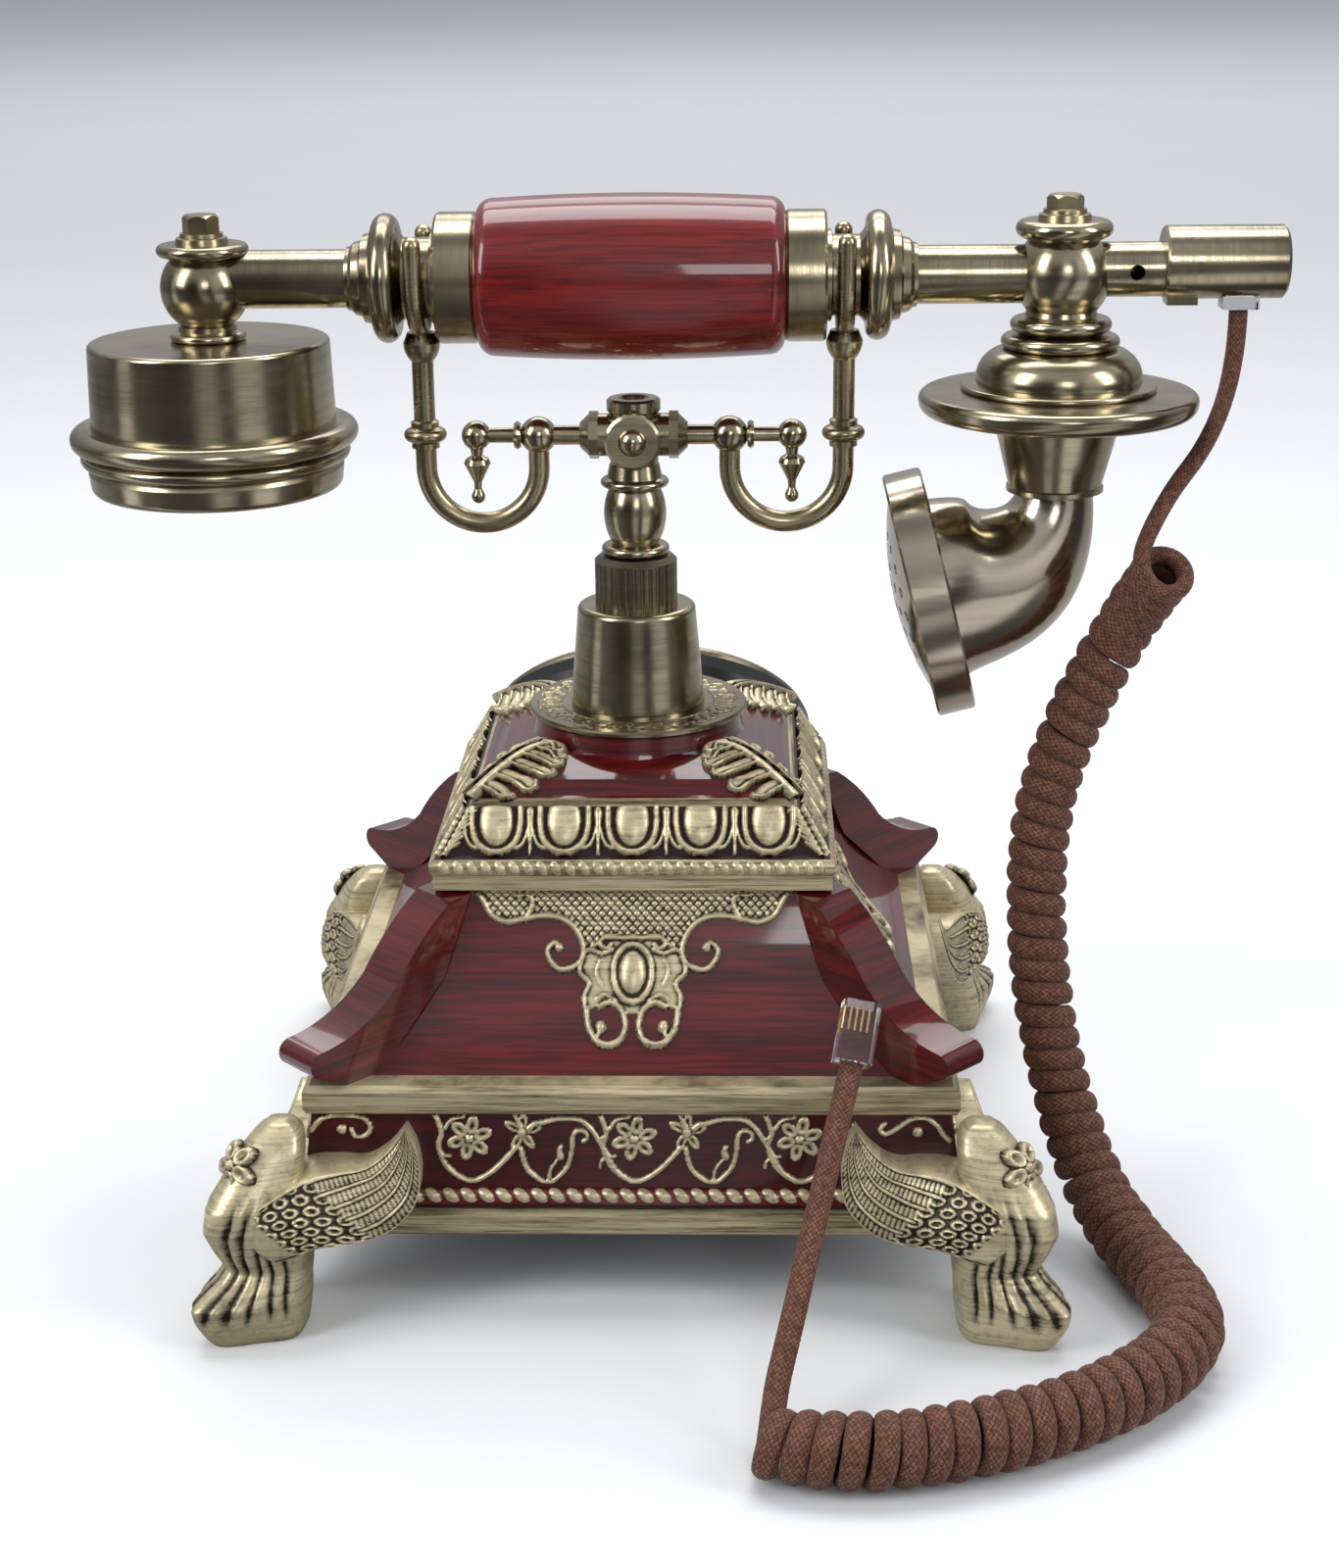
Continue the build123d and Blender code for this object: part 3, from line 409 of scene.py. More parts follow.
def gilding(name, relief=False):
    """Gilded resin: streaked old gold, with dark wax and painted shade in the hollows of a relief."""
    finish = Finish(name, metal=0.55)
    along = finish.noise((0.05, 0.05, 1.6), 0.9, 4.0, 0.7, 0.3)
    spots = finish.noise((0.5, 0.5, 0.5), 1.0, 4.0, 0.7)
    shade = finish.math("ADD", finish.math("MULTIPLY", finish.spread(along, 0.42, 0.75), 0.50),
                        finish.math("MULTIPLY", finish.spread(spots, 0.45, 0.80), 0.45))
    # With a relief, the hollow attribute darkens the gold: dark wax and painted shade in the hollows.
    if relief:
        shade = finish.math("ADD", shade, finish.node("Attribute", output="Fac", attribute_name="hollow"))
    shade = finish.math("MINIMUM", shade, 1.0)
    finish.set("colour", finish.mix(shade, (0.60, 0.52, 0.33), (0.020, 0.012, 0.006)))
    finish.set("rough", finish.between(spots, 0.26, 0.48))
    finish.bump(spots, 0.15, 0.15)
    return finish


gold_relief = gilding("gilded_relief", relief=True)
gilding("gilded_feet").on("rear_feet", "front_feet")


# From one height on the casting to another, in millimetres, and how strongly that band is gilded, or darkened as
# painted shade.
GILDED_BANDS = ((16.0, 22.9, 1.0), (43.75, 49.85, 1.0), (83.55, 90.3, 1.0), (99.75, 101.2, 1.0))
SHADED_GROUNDS = ((22.9, 24.3, 0.95), (27.2, 43.75, 0.55), (90.3, 99.75, 0.93))


def casting_finish():
    """The base's casting: red lacquer, gilding on its rails and bands, and painted shade, near black, on the
    grounds behind the carving and under the lower rope.
    """
    finish = lacquer("red_lacquer", "z", (0.115, 0.004, 0.005), (0.028, 0.0015, 0.002))
    height = finish.node("SeparateXYZ", {0: finish.place()}, output="Z")

    def zones(rows):
        most = 0.0
        for low, high, strength in rows:
            above, below = finish.math("GREATER_THAN", height, low), finish.math("LESS_THAN", height, high)
            inside = finish.math("MULTIPLY", finish.math("MULTIPLY", above, below), strength)
            most = finish.math("MAXIMUM", most, inside)
        return most

    bands, grounds = zones(GILDED_BANDS), zones(SHADED_GROUNDS)
    streaks = finish.spread(finish.noise((0.04, 0.04, 1.5), 0.9, 4.0, 0.75, 0.3), 0.36, 0.72)
    gold = finish.mix(streaks, (0.54, 0.465, 0.29), (0.085, 0.06, 0.03))
    # Painted shade: near black on the grounds behind the frieze and the egg-and-dart, and in the strip under the
    # lower rope.
    red = finish.mix(grounds, finish.wood, (0.012, 0.004, 0.005))
    finish.set("colour", finish.mix(bands, red, gold))
    finish.set("metal", finish.math("MULTIPLY", bands, 0.55))
    finish.set("rough", finish.between(bands, 0.34, 0.40))
    finish.set("coat", finish.math("SUBTRACT", 1.0, finish.math("MAXIMUM", bands, grounds)))
    return finish


casting_finish().on("base_casting")


def plastic(name, colour, rough, speck=0.06):
    """Moulded plastic, board or felt: a fine grain, with darker specks."""
    finish = Finish(name)
    grain = finish.noise((1, 1, 1), 2.5, 3.0)
    specks = finish.math("MULTIPLY", grain, speck)
    finish.set("colour", finish.mix(specks, colour, tuple(k * 0.4 for k in colour)))
    finish.set("rough", finish.between(grain, rough, rough + 0.1))
    finish.bump(grain, 0.04, 0.05)
    return finish


plastic("black_plastic", (0.02, 0.02, 0.021), 0.32).on(
    "dial_case", "dial_mechanism", "handset_jack", "line_jack", "base_plate", "hook_switch",
    "ringer_switch_knob", "receiver_capsule", "microphone_capsule", "post_bush")
plastic("felt", (0.05, 0.045, 0.04), 0.9, 0.5).on("foot_pads")
plastic("number_plate", (0.78, 0.74, 0.62), 0.35).on("dial_number_plate")
plastic("circuit_board", (0.02, 0.14, 0.05), 0.45, 0.5).on("circuit_board")
brushed_metal("steel", "z", (0.6, 0.6, 0.6), (0.3, 0.3, 0.3), 0.3).on(
    "machine_screws", "cradle_spring", "bell_hammer", "pillar_nut", "ringer_frame")
brushed_metal("copper_winding", "z", (0.55, 0.24, 0.10), (0.2, 0.08, 0.03), 0.35).on("ringer_coil")
brushed_metal("bell_brass", "z", (0.72, 0.56, 0.26), (0.4, 0.3, 0.12), 0.2, 0.6).on("bell_gongs")
brushed_metal("brass_dial", "z", BRASS_LIGHT, BRASS_DARK, 0.26).on(
    "dial_bezel", "finger_wheel", "dial_spindle", "finger_stop")

clear_plastic = Finish("clear_plastic", clear=1.0, ior=1.49, rough=0.06, colour=(0.93, 0.95, 0.97))
clear_plastic.bump(clear_plastic.noise((1, 1, 1), 0.8, 2.0), 0.08, 0.1)
clear_plastic.on("cord_plug_handset", "cord_plug_far")


def cord_finish():
    """Brown braid: threads both ways round the cord, with lighter flecks, and painted shade between the threads.
    """
    finish = Finish("braided_cord", rough=0.7, sheen=0.08, specular=0.3)
    uv = finish.node("UVMap", uv_map="lengths")
    turn, along = (finish.node("SeparateXYZ", {0: uv}, output=axis) for axis in "XY")
    threads = finish.math("MULTIPLY", turn, BRAID_THREADS)
    steps = finish.math("DIVIDE", along, BRAID_STEP)
    lines = finish.math("ADD", threads, steps), finish.math("SUBTRACT", threads, steps)
    squares = finish.math("ADD", *(finish.math("FLOOR", line) for line in lines))
    over = finish.math("MODULO", finish.math("ABSOLUTE", squares), 2.0)
    ridges = [
        finish.math("ABSOLUTE", finish.math("SINE", finish.math("MULTIPLY", line, pi))) for line in lines
    ]
    ridge = finish.node("Mix", {0: over, 2: ridges[1], 3: ridges[0]})
    fleck = finish.spread(finish.noise((1, 1, 1), 0.9, 3.0, 0.7), 0.35, 0.7)
    # The colour runs from dark in the gaps between threads to light on their crests: painted shade between the
    # threads.
    dark = finish.mix(fleck, (0.022, 0.006, 0.004), (0.045, 0.013, 0.008))
    light = finish.mix(fleck, (0.090, 0.030, 0.016), (0.22, 0.095, 0.055))
    finish.set("colour", finish.mix(finish.spread(ridge, 0.15, 0.95), dark, light))
    finish.bump(ridge, 0.5, 0.15)
    return finish


cord.data.materials.append(cord_finish().material)
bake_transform(cord)

# ---- carving

casting_tree = BVHTree.FromPolygons(
    [vertex.co for vertex in NODES["base_casting"].data.vertices],
    [tuple(polygon.vertices) for polygon in NODES["base_casting"].data.polygons],
)
PROFILE_HEIGHTS = np.arange(17.5, 106.5, 0.25)
# The rays stand a little off the middle, so that none runs along an edge of the mesh.
PROFILE_REACH = np.array([
    -casting_tree.ray_cast(Vector((0.0007, -0.2, height * MM)), Vector((0, 1, 0)))[0].y / MM
    for height in PROFILE_HEIGHTS
])
STEEPEST = 2
PROFILE_SLOPE = np.clip(np.gradient(PROFILE_REACH, PROFILE_HEIGHTS), -STEEPEST, STEEPEST)
PROFILE_SLOPE = np.convolve(PROFILE_SLOPE, np.ones(7) / 7, "same")
DIAL_CENTRE = np.array([0, 70.3, 83.7])
DIAL_AXIS = np.array([0, sqrt(0.5), sqrt(0.5)])


def smooth_line(points, steps=6):
    """A curve through all these points."""
    points = np.array([points[0], *points, points[-1]], dtype=float)
    t = np.linspace(0, 1, steps, endpoint=False)[:, None]
    spans = [
        b + t * (c - a) / 2 + t**2 * (a - 2.5 * b + 2 * c - d / 2) + t**3 * (1.5 * (b - c) + (d - a) / 2)
        for a, b, c, d in zip(points[:-3], points[1:-2], points[2:-1], points[3:])
    ]
    return np.concatenate([*spans, points[-1:]])


def grid_faces(rows, columns):
    """Quads of a grid of vertices, by their numbers."""
    row, column = np.meshgrid(np.arange(rows - 1), np.arange(columns - 1), indexing="ij")
    first = (row * columns + column).ravel()
    return np.stack([first, first + 1, first + columns + 1, first + columns], axis=1)


def blurred(values, times):
    for _ in range(times):
        padded = np.pad(values, 1, mode="edge")
        values = (padded[:-2, 1:-1] + padded[2:, 1:-1] + padded[1:-1, :-2] + padded[1:-1, 2:] + values) / 5
    return values


# These values darken the gilded relief: dark wax and painted shade in the hollows.
def hollows(height, depth=0.16):
    """How far each point lies below its neighbours, from 0 to 1."""
    return np.clip((blurred(height, 8) - height) / depth, 0, 1)


def dressed(piece, hollow, finish, body):
    """The piece with its finish and body, and with how hollow each of its points is."""
    layer = piece.data.attributes.new("hollow", "FLOAT", "POINT")
    layer.data.foreach_set("value", hollow.astype(np.float32))
    piece.data.materials.append(finish.material)
    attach(piece, body)
    return piece


def carved_object(name, parts, finish=gold_relief, body="base"):
    """One piece from several sets of vertices in millimetres, faces, and hollows from 0 to 1."""
    places, faces, hollow = zip(*parts)
    firsts = np.cumsum([0, *(len(part) for part in places[:-1])])
    faces = np.concatenate([quads + first for quads, first in zip(faces, firsts)])
    piece = made_object(name, np.concatenate(places) * MM, faces)
    return dressed(piece, np.concatenate(hollow), finish, body)


def quarter_turned(places, quarter):
    """The places turned by quarters round the object."""
    c, s = ((1, 0), (0, 1), (-1, 0), (0, -1))[quarter]
    x, y, z = places.T
    return np.stack([x * c - y * s, x * s + y * c, z], axis=1)


# A relief lower than this is bare ground.
BARE = 0.02


class Relief:
    """A sheet of carving: a grid of heights, all in millimetres."""

    def __init__(self, left, right, low, high, step):
        self.across = np.arange(left, right + step / 2, step)
        self.up = np.arange(low, high + step / 2, step)
        self.u, self.v = np.meshgrid(self.across, self.up)
        self.height = np.zeros(self.u.shape)

    def stroke(self, points, start, end=None, rise=0.8):
        """A rounded ridge along a smooth line, from one half width to the other."""
        line = smooth_line(points)
        end = start if end is None else end
        widths = np.linspace(start, end, len(line))
        most = max(start, end)
        for (x1, y1), (x2, y2), width in zip(line[:-1], line[1:], widths):
            i1, i2 = np.searchsorted(self.across, [min(x1, x2) - most, max(x1, x2) + most])
            j1, j2 = np.searchsorted(self.up, [min(y1, y2) - most, max(y1, y2) + most])
            u, v = self.u[j1:j2, i1:i2], self.v[j1:j2, i1:i2]
            length = max((x2 - x1) ** 2 + (y2 - y1) ** 2, 1e-9)
            t = np.clip(((u - x1) * (x2 - x1) + (v - y1) * (y2 - y1)) / length, 0, 1)
            far = np.hypot(u - x1 - t * (x2 - x1), v - y1 - t * (y2 - y1)) / width
            ridge = rise * np.sqrt(np.clip(1 - far**2, 0, 1))
            self.height[j1:j2, i1:i2] = np.maximum(self.height[j1:j2, i1:i2], ridge)

    def oval(self, centre, reach, turn=0.0, rise=0.8, rim=0.0):
        """A dome, or with a rim a shallow cup."""
        c, s = cos(turn), sin(turn)
        u, v = self.u - centre[0], self.v - centre[1]
        far = np.hypot((u * c + v * s) / reach[0], (v * c - u * s) / reach[1])
        dome = rise * np.sqrt(np.clip(1 - far**2, 0, 1))
        if rim:
            dome = np.where(far < 1, dome * np.clip(0.12 + 1.25 * far**2, 0, 1), dome)
        self.height = np.where(far < 1, np.maximum(self.height, dome), self.height)

    def inside(self, outline):
        """Which points of the grid are inside this outline."""
        found = np.zeros(self.u.shape, dtype=bool)
        for (x1, y1), (x2, y2) in zip(outline, [*outline[1:], outline[0]]):
            if y1 == y2:
                continue
            crosses = (y1 > self.v) != (y2 > self.v)
            found ^= crosses & (self.u < (x2 - x1) * (self.v - y1) / (y2 - y1) + x1)
        return found

    def flower(self, centre, reach, petals=6, rise=0.9):
        for k in range(petals):
            turn = tau * k / petals + 0.3
            middle = (centre[0] + 0.58 * reach * cos(turn), centre[1] + 0.58 * reach * sin(turn))
            self.oval(middle, (0.43 * reach, 0.27 * reach), turn, rise, rim=1)
        self.oval(centre, (0.2 * reach, 0.2 * reach), 0, rise * 1.3)

    def part(self, place, quarter=0, bottom=-0.25):
        """The carving on a surface, turned by quarters round the object, without its bare ground."""
        carved = self.height > BARE
        where, outward = place(self.u.ravel(), self.v.ravel())
        where = where + outward * np.where(carved, self.height, bottom).reshape(-1, 1)
        where = quarter_turned(where, quarter)
        faces = grid_faces(*self.u.shape)
        faces = faces[clear_of_openings(where[faces].mean(axis=1)) & carved.ravel()[faces].any(axis=1)]
        used = np.unique(faces)
        number = np.zeros(len(where), dtype=int)
        number[used] = np.arange(len(used))
        return where[used], number[faces], hollows(self.height).ravel()[used]


# Room kept round the jacks' sockets; the bell switch's slot: its middle and half its size, along Y and Z.
SOCKET_ROOM = 0.8
SLOT_MIDDLE = np.array([-6, 34])
SLOT_REACH = np.array([6.2, 3.2])
CASE_REACH, CASE_BACK = 40.4, -26.5


def clear_of_openings(places):
    """Which of these places, in millimetres, are outside the sockets, the slot and the dial's case."""
    kept = np.ones(len(places), dtype=bool)
    for node in ("handset_jack", "line_jack"):
        low, high = (np.array(corner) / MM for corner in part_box(node))
        near = (places[:, 1:] > low[1:] - SOCKET_ROOM) & (places[:, 1:] < high[1:] + SOCKET_ROOM)
        kept &= ~((places[:, 0] * copysign(1, low[0] + high[0]) > 40) & near.all(axis=1))
    slot = (places[:, 0] < -40) & (abs(places[:, 1:] - SLOT_MIDDLE) < SLOT_REACH).all(axis=1)
    away = places - DIAL_CENTRE
    along = away @ DIAL_AXIS
    across = np.linalg.norm(away - along[:, None] * DIAL_AXIS, axis=1)
    return kept & ~slot & ~((across < CASE_REACH) & (along > CASE_BACK))


def on_side(u, v):
    """The casting's side towards -Y, u across and v up: places and outward directions."""
    reach = np.interp(v, PROFILE_HEIGHTS, PROFILE_REACH)
    slope = np.interp(v, PROFILE_HEIGHTS, PROFILE_SLOPE)
    return np.stack([u, -reach, v], axis=1), unit(np.stack([0 * u, -1 + 0 * u, -slope], axis=1))


def mirrored(points):
    return [(-x, z) for x, z in points]


FLOWER_PITCH = 34.3
FLOWER_HEIGHT = 38.1


def frieze():
    """Flowers in rings of stem, with leaves, buds and scrolls between them."""
    relief = Relief(-67.5, 67.5, 27.6, 43.9, 0.3)
    for k in (-1, 0, 1):
        x = 0.7 + FLOWER_PITCH * k

        def put(points, start, end=None, rise=0.85):
            relief.stroke([(x + a, b) for a, b in points], start, end, rise)

        relief.flower((x, FLOWER_HEIGHT), 4.9)
        put([(-7, 43.3), (-5.8, 39.4), (-6.5, 36.3), (-4.5, 31.6), (0, 28.9), (4, 30.5), (7.5, 33.7),
             (9.7, 36.3)], 0.62)
        put([(-5, 40.3), (-4.2, 41.6), (-3, 42.4), (-1, 42.9)], 0.5, 0.35)
        put([(-6.6, 36), (-5.6, 34.6), (-4, 34.2)], 0.45, 0.3)
        if k == 1:
            put([(9.7, 36.3), (11.2, 37.6), (12, 39.6), (11, 41.2)], 0.55, 0.4)
            continue
        for turn in (0.3, 1.5, 2.6, 4.2, 5.3):
            middle = (x + 11 + 2.3 * cos(turn), 39.4 + 2.3 * sin(turn))
            relief.oval(middle, (2.0, 0.95), turn, 0.9, rim=1)
        relief.oval((x + 11, 39.4), (1.0, 1.0), 0, 1.1)
        put([(11, 40), (10.2, 41.8), (9.5, 43.3)], 0.7, 0.3)
        put([(12.4, 40.2), (13.6, 41.3), (15.2, 41.7)], 0.75, 0.3)
        put([(10.7, 35.8), (11.9, 31.6), (14.4, 29.3), (16.1, 28.8), (17.8, 29.3), (20.3, 32.1), (21.3, 35.8),
             (21.5, 38.4), (22.5, 39.8), (24.2, 39.5), (24.5, 38.2), (23.6, 37.5)], 0.62, 0.5)
        put([(19, 34.2), (18.7, 35.4), (19.1, 36.4)], 0.85, 0.4)
        put([(16.4, 29.2), (16.9, 31.6), (18.6, 33.9)], 0.4, 0.3)
        put([(14.9, 41.4), (18.8, 42.4), (22.8, 42.2), (25.2, 40.4), (27.2, 37.3), (28.7, 34.7), (30.6, 31.1),
             (33.6, 28.9)], 0.62)
        put([(26.8, 37.8), (28.4, 38.9), (29, 40.4)], 0.5, 0.3)
        put([(28.9, 34.4), (27.4, 33.2), (27.2, 31.8)], 0.5, 0.3)
    relief.stroke([(-66.6, 39.7), (-64.2, 42.3), (-60.2, 43.2), (-55.8, 42.5), (-54.2, 40.5), (-55.2, 38.7),
                   (-57.4, 38.5), (-58.2, 39.9)], 0.62, 0.5)
    relief.oval((-60.2, 39.9), (1.1, 1.1))
    relief.stroke([(66, 37.8), (64.9, 38.9), (63.2, 41.2), (60.7, 42.8), (57.8, 42.3), (54.8, 40.2),
                   (52.8, 39.2), (51.6, 40.2), (52.6, 41.4)], 0.62, 0.5)
    relief.oval((59.4, 39.6), (1.1, 1.1))
    return relief


def cartouche():
    """Lattice under the band, edged by scrolls, with a shield that holds an oval stone."""
    relief = Relief(-35.5, 35.5, 53.6, 83.4, 0.27)
    edge = [(33.5, 83.2), (31.7, 80.6), (30, 77.8), (26.8, 76.4), (23.7, 76.9), (19.6, 77.6), (16, 77.4),
            (12.9, 75.8), (10.9, 72.9)]
    shield = [(0, 73.6), (6, 73.4), (9, 71.6), (10.6, 69.4), (11.1, 66.8), (9.1, 64.7), (10.2, 62.3),
              (9.6, 59.8), (7.4, 60.6), (4.2, 60.8), (1.6, 59.2), (0, 59.4)]
    lattice = relief.inside([*edge, (10, 71), (0, 72), (-10, 71), *mirrored(edge[::-1])])
    threads = [np.abs(np.sin(pi * (relief.u / 1.85 + side * relief.v / 2.0))) for side in (1, -1)]
    relief.height = np.where(lattice, 0.12 + 0.75 * np.minimum(np.minimum(*threads), 0.72), 0)
    relief.height = np.where(relief.inside([*shield, *mirrored(shield[::-1])]), 0.75, relief.height)

    def both(points, start, end, rise=1.3):
        relief.stroke(points, start, end, rise)
        relief.stroke(mirrored(points), start, end, rise)

    both([*edge, (10.4, 70), (12, 68), (15.2, 67.2), (17.4, 68.8), (18, 70.9), (16.5, 72.3), (15.2, 71.3)],
         0.75, 0.6)
    both([(22.8, 76.9), (21.4, 79.4), (21.4, 81), (22.6, 82.1), (24.1, 81.7)], 0.7, 0.5, 1.2)
    both([(0, 73.4), (1.7, 73.2), (3.9, 73.4), (6, 73.3), (7.0, 72.0), (5.6, 71.2), (4.6, 71.9)],
         0.65, 0.5, 1.4)
    both([(4.4, 71), (6.6, 70.2), (8.9, 71.0), (10.2, 70.4)], 0.6, 0.5)
    both([(10.6, 69.6), (11.2, 66.8), (9.2, 64.7), (10.2, 62.3), (9.7, 59.6)], 0.65, 0.5)
    both([(9.6, 60.2), (9.1, 57.2), (7.2, 54.9), (4.9, 54.3), (2.6, 55.1), (1.4, 57.4), (2.3, 60), (4.6, 61.3),
          (6.9, 60.6)], 0.7, 0.6)
    both([(7.6, 55.3), (6.9, 56.2), (6.6, 57.2)], 0.5, 0.6, 1.2)
    both([(6.6, 64.4), (7.6, 66.6), (6.8, 69)], 0.45, 0.4, 1.05)
    both([(3.4, 61.6), (5.8, 62.6), (7.6, 61.9)], 0.45, 0.4, 1.05)
    for side in (1, -1):
        relief.oval((15.7 * side, 71.4), (1.0, 1.0), 0, 1.4)
        relief.oval((6.6 * side, 57.2), (1.2, 1.2), 0, 1.5)
    angles = np.linspace(0, tau, 17)
    relief.stroke([(4.1 * cos(a), 66.7 + 5.3 * sin(a)) for a in angles], 0.75, None, 1.35)
    relief.oval((0, 66.7), (3.1, 4.3), 0, 2.1)
    return relief


EGG_PITCH = 14.4


def egg_and_dart():
    """Eggs in open rims, with a dart between each two, and a feathered edge at both ends."""
    relief = Relief(-41, 41, 90.7, 99.6, 0.26)
    reach = np.interp(relief.v, PROFILE_HEIGHTS, PROFILE_REACH)
    half = ((0.45, 91.9), (0.84, 93.6), (1, 96.4), (1, 99.6))
    rim = (*mirrored(half[::-1]), (0, 91.35), *half)
    for k in range(-2, 3):
        x = EGG_PITCH * k
        relief.stroke([(x + 5.1 * a, z) for a, z in rim], 0.72, None, 1.5)
        relief.oval((x, 97.4), (3.65, 4.9), 0, 1.5)
    curl = ((0.4, 96.2), (0.9, 94.2), (1.9, 92.7), (3.2, 92.2), (3.7, 92.9))
    for k in (-2.5, -1.5, -0.5, 0.5, 1.5, 2.5):
        x = EGG_PITCH * k
        if abs(k) < 2:
            relief.stroke([(x, 98.7), (x, 97.2), (x, 94.6), (x, 93.2)], 1.0, 0.4, 1.3)
            relief.stroke([(x, 92.7), (x, 91.1)], 0.42, 0.3, 1.0)
        for side in (-1, 1):
            if abs(k) < 2 or side * k < 0:
                relief.stroke([(x + side * a, z) for a, z in curl], 0.42, 0.4, 1.05)
    for side in (-1, 1):
        for k in range(8):
            z = 91.3 + 1.15 * k
            corner = float(np.interp(z, PROFILE_HEIGHTS, PROFILE_REACH))
            barb = ((4.0, 1.9), (2.2, 0.9), (0.5, -0.5))
            relief.stroke([(side * (corner - a), z + b) for a, b in barb], 0.3, 0.55, 1.1)
    relief.height = np.where(np.abs(relief.u) > reach + 0.2, -1.0, relief.height)
    return relief


ROPE_SIDES = 16
ROPE_CORNER = 1.2


def rope(name, reach, height, radius, pitch):
    """A twisted cord along all four sides."""
    ring = []
    for quarter in range(4):
        centre = Matrix.Rotation(quarter * pi / 2, 2) @ Vector((reach - ROPE_CORNER, ROPE_CORNER - reach))
        for k in range(5):
            angle = radians(quarter * 90 - 90 + 22.5 * k)
            spot = centre + ROPE_CORNER * Vector((cos(angle), sin(angle)))
            ring.append((*spot, height))
    path = resampled(np.array([*ring, ring[0]]) * MM, 0.28 * MM)

    def wave(turn, along):
        return np.abs(np.sin(pi * (along / (pitch * MM) - turn)))

    def strands(turn, along):
        return (0.5 * wave(turn, along) ** 0.7 - 0.5) * radius * MM

    piece = tube(name, path, np.array([0, 0, 1]), radius * MM, radius * MM, ROPE_SIDES, strands)
    turn, along = np.meshgrid(np.arange(ROPE_SIDES) / ROPE_SIDES, walked(path))
    # Darkness for the gilding in the gaps between the strands: dark wax and painted shade.
    deep = np.clip(1 - wave(turn, along) / 0.62, 0, 1) ** 0.6
    kept_faces_clear(dressed(piece, deep.ravel(), gold_relief, "base"))


def kept_faces_clear(piece):
    """Takes away a piece's faces that lie in the openings or the dial's case."""
    mesh = piece.data
    centres = np.array([polygon.center[:] for polygon in mesh.polygons]) / MM
    kept = clear_of_openings(centres)
    if kept.all():
        return
    work = bmesh.new()
    work.from_mesh(mesh)
    work.faces.ensure_lookup_table()
    bmesh.ops.delete(work, geom=[work.faces[int(k)] for k in np.flatnonzero(~kept)], context="FACES")
    work.to_mesh(mesh)
    work.free()


reliefs = {"frieze_scrolls": frieze(), "roof_cartouches": cartouche(), "egg_and_dart": egg_and_dart()}
for name, relief in reliefs.items():
    carved_object(name, [relief.part(on_side, quarter) for quarter in range(4)])
rope("rope_lower", 69.3, 25.9, 1.6, 3.7)
rope("rope_upper", 41.5, 88.5, 1.75, 2.95)

# ---- feet

FOOT_SHAPE = np.array([
    # height, centre, radius, reach of the toe
    (0.0, -76.6, 8.2, 11.5), (1.0, -76.6, 9.0, 12.6), (3.6, -76.6, 9.4, 14.0), (6.5, -76.4, 9.6, 15.6),
    (9.4, -76.2, 9.5, 16.3),
    (11.0, -75.9, 9.2, 14.4), (13.0, -75.4, 9.0, 11.4), (15.4, -75.0, 8.8, 9.4), (20.0, -75.6, 9.2, 11.0),
    (25.0, -75.4, 8.0, 13.2), (30.0, -74.4, 6.6, 13.4), (35.0, -73.4, 6.0, 10.8), (40.0, -72.6, 5.6, 7.8),
    (43.0, -72.0, 4.6, 5.2), (44.6, -71.8, 2.6, 2.6),
])
FLUTES = (-2.18, -1.95, -1.66, -1.36, -1.04)
FLUTE_FOOT, FLUTE_TOP = 5.0, 34.0
LEG_CAP = 44.9


def leg(rows=110, columns=120):
    """The leg at the corner towards -X and -Y: bowed, fluted on its two outer sides, with a cut toe."""
    heights = np.linspace(0, FOOT_SHAPE[-1, 0], rows)
    centre, radius, toe = (
        blurred(np.interp(heights, FOOT_SHAPE[:, 0], FOOT_SHAPE[:, k])[:, None], 3) for k in (1, 2, 3)
    )
    angle = np.linspace(0, tau, columns, endpoint=False)[None, :]
    off = np.angle(np.exp(1j * (angle + 0.75 * pi)))
    z = heights[:, None]
    beak = np.exp(-(off / (0.52 + 0.02 * z)) ** 2)
    reach = radius + (toe - radius) * beak
    square = (np.abs(np.cos(angle)) ** 5 + np.abs(np.sin(angle)) ** 5) ** (-0.2)
    reach = reach * (0.45 + 0.55 * square)
    cut = np.clip((z - FLUTE_FOOT) / 3, 0, 1) * np.clip((FLUTE_TOP - z) / 7, 0, 1)
    groove = np.zeros_like(reach)
    for k, place in enumerate(FLUTES):
        lean = place + 0.010 * (z - 14) * (0.9 if k < 3 else -0.6)
        for turn in (lean, -1.5 * pi - lean):
            groove = np.maximum(groove, np.exp(-((np.angle(np.exp(1j * (angle - turn))) * 9.5 / 0.42) ** 2)))
    facet = 0.9 * np.exp(-((np.abs(off) - 0.34) / 0.16) ** 2) * np.exp(-((z - 9.3) / 2.2) ** 2)
    reach = reach - 1.0 * groove * cut - facet
    places = np.stack([centre + reach * np.cos(angle), centre + reach * np.sin(angle), z + 0 * angle], axis=2)
    # Darkness for the gilding in the flutes and on the cut facet: dark wax and painted shade.
    deep = np.clip(1.3 * groove * cut + 0.5 * facet, 0, 1)
    faces = grid_faces(rows, columns)
    around = np.arange(rows - 1) * columns
    seam = np.stack([around + columns - 1, around, around + columns, around + 2 * columns - 1], axis=1)
    ring, after = np.arange(columns), np.roll(np.arange(columns), -1)
    count = rows * columns
    bottom = np.stack([after, ring, 0 * ring + count, 0 * ring + count], axis=1)
    lid = 0 * ring + count + 1
    top = np.stack([ring + count - columns, after + count - columns, lid, lid], axis=1)
    low, high = float(centre[0, 0]), float(centre[-1, 0])
    places = np.concatenate([places.reshape(-1, 3), [(low, low, 0.0), (high, high, LEG_CAP)]])
    return places, np.concatenate([faces, seam, bottom, top]), np.append(deep.ravel(), [0, 0])


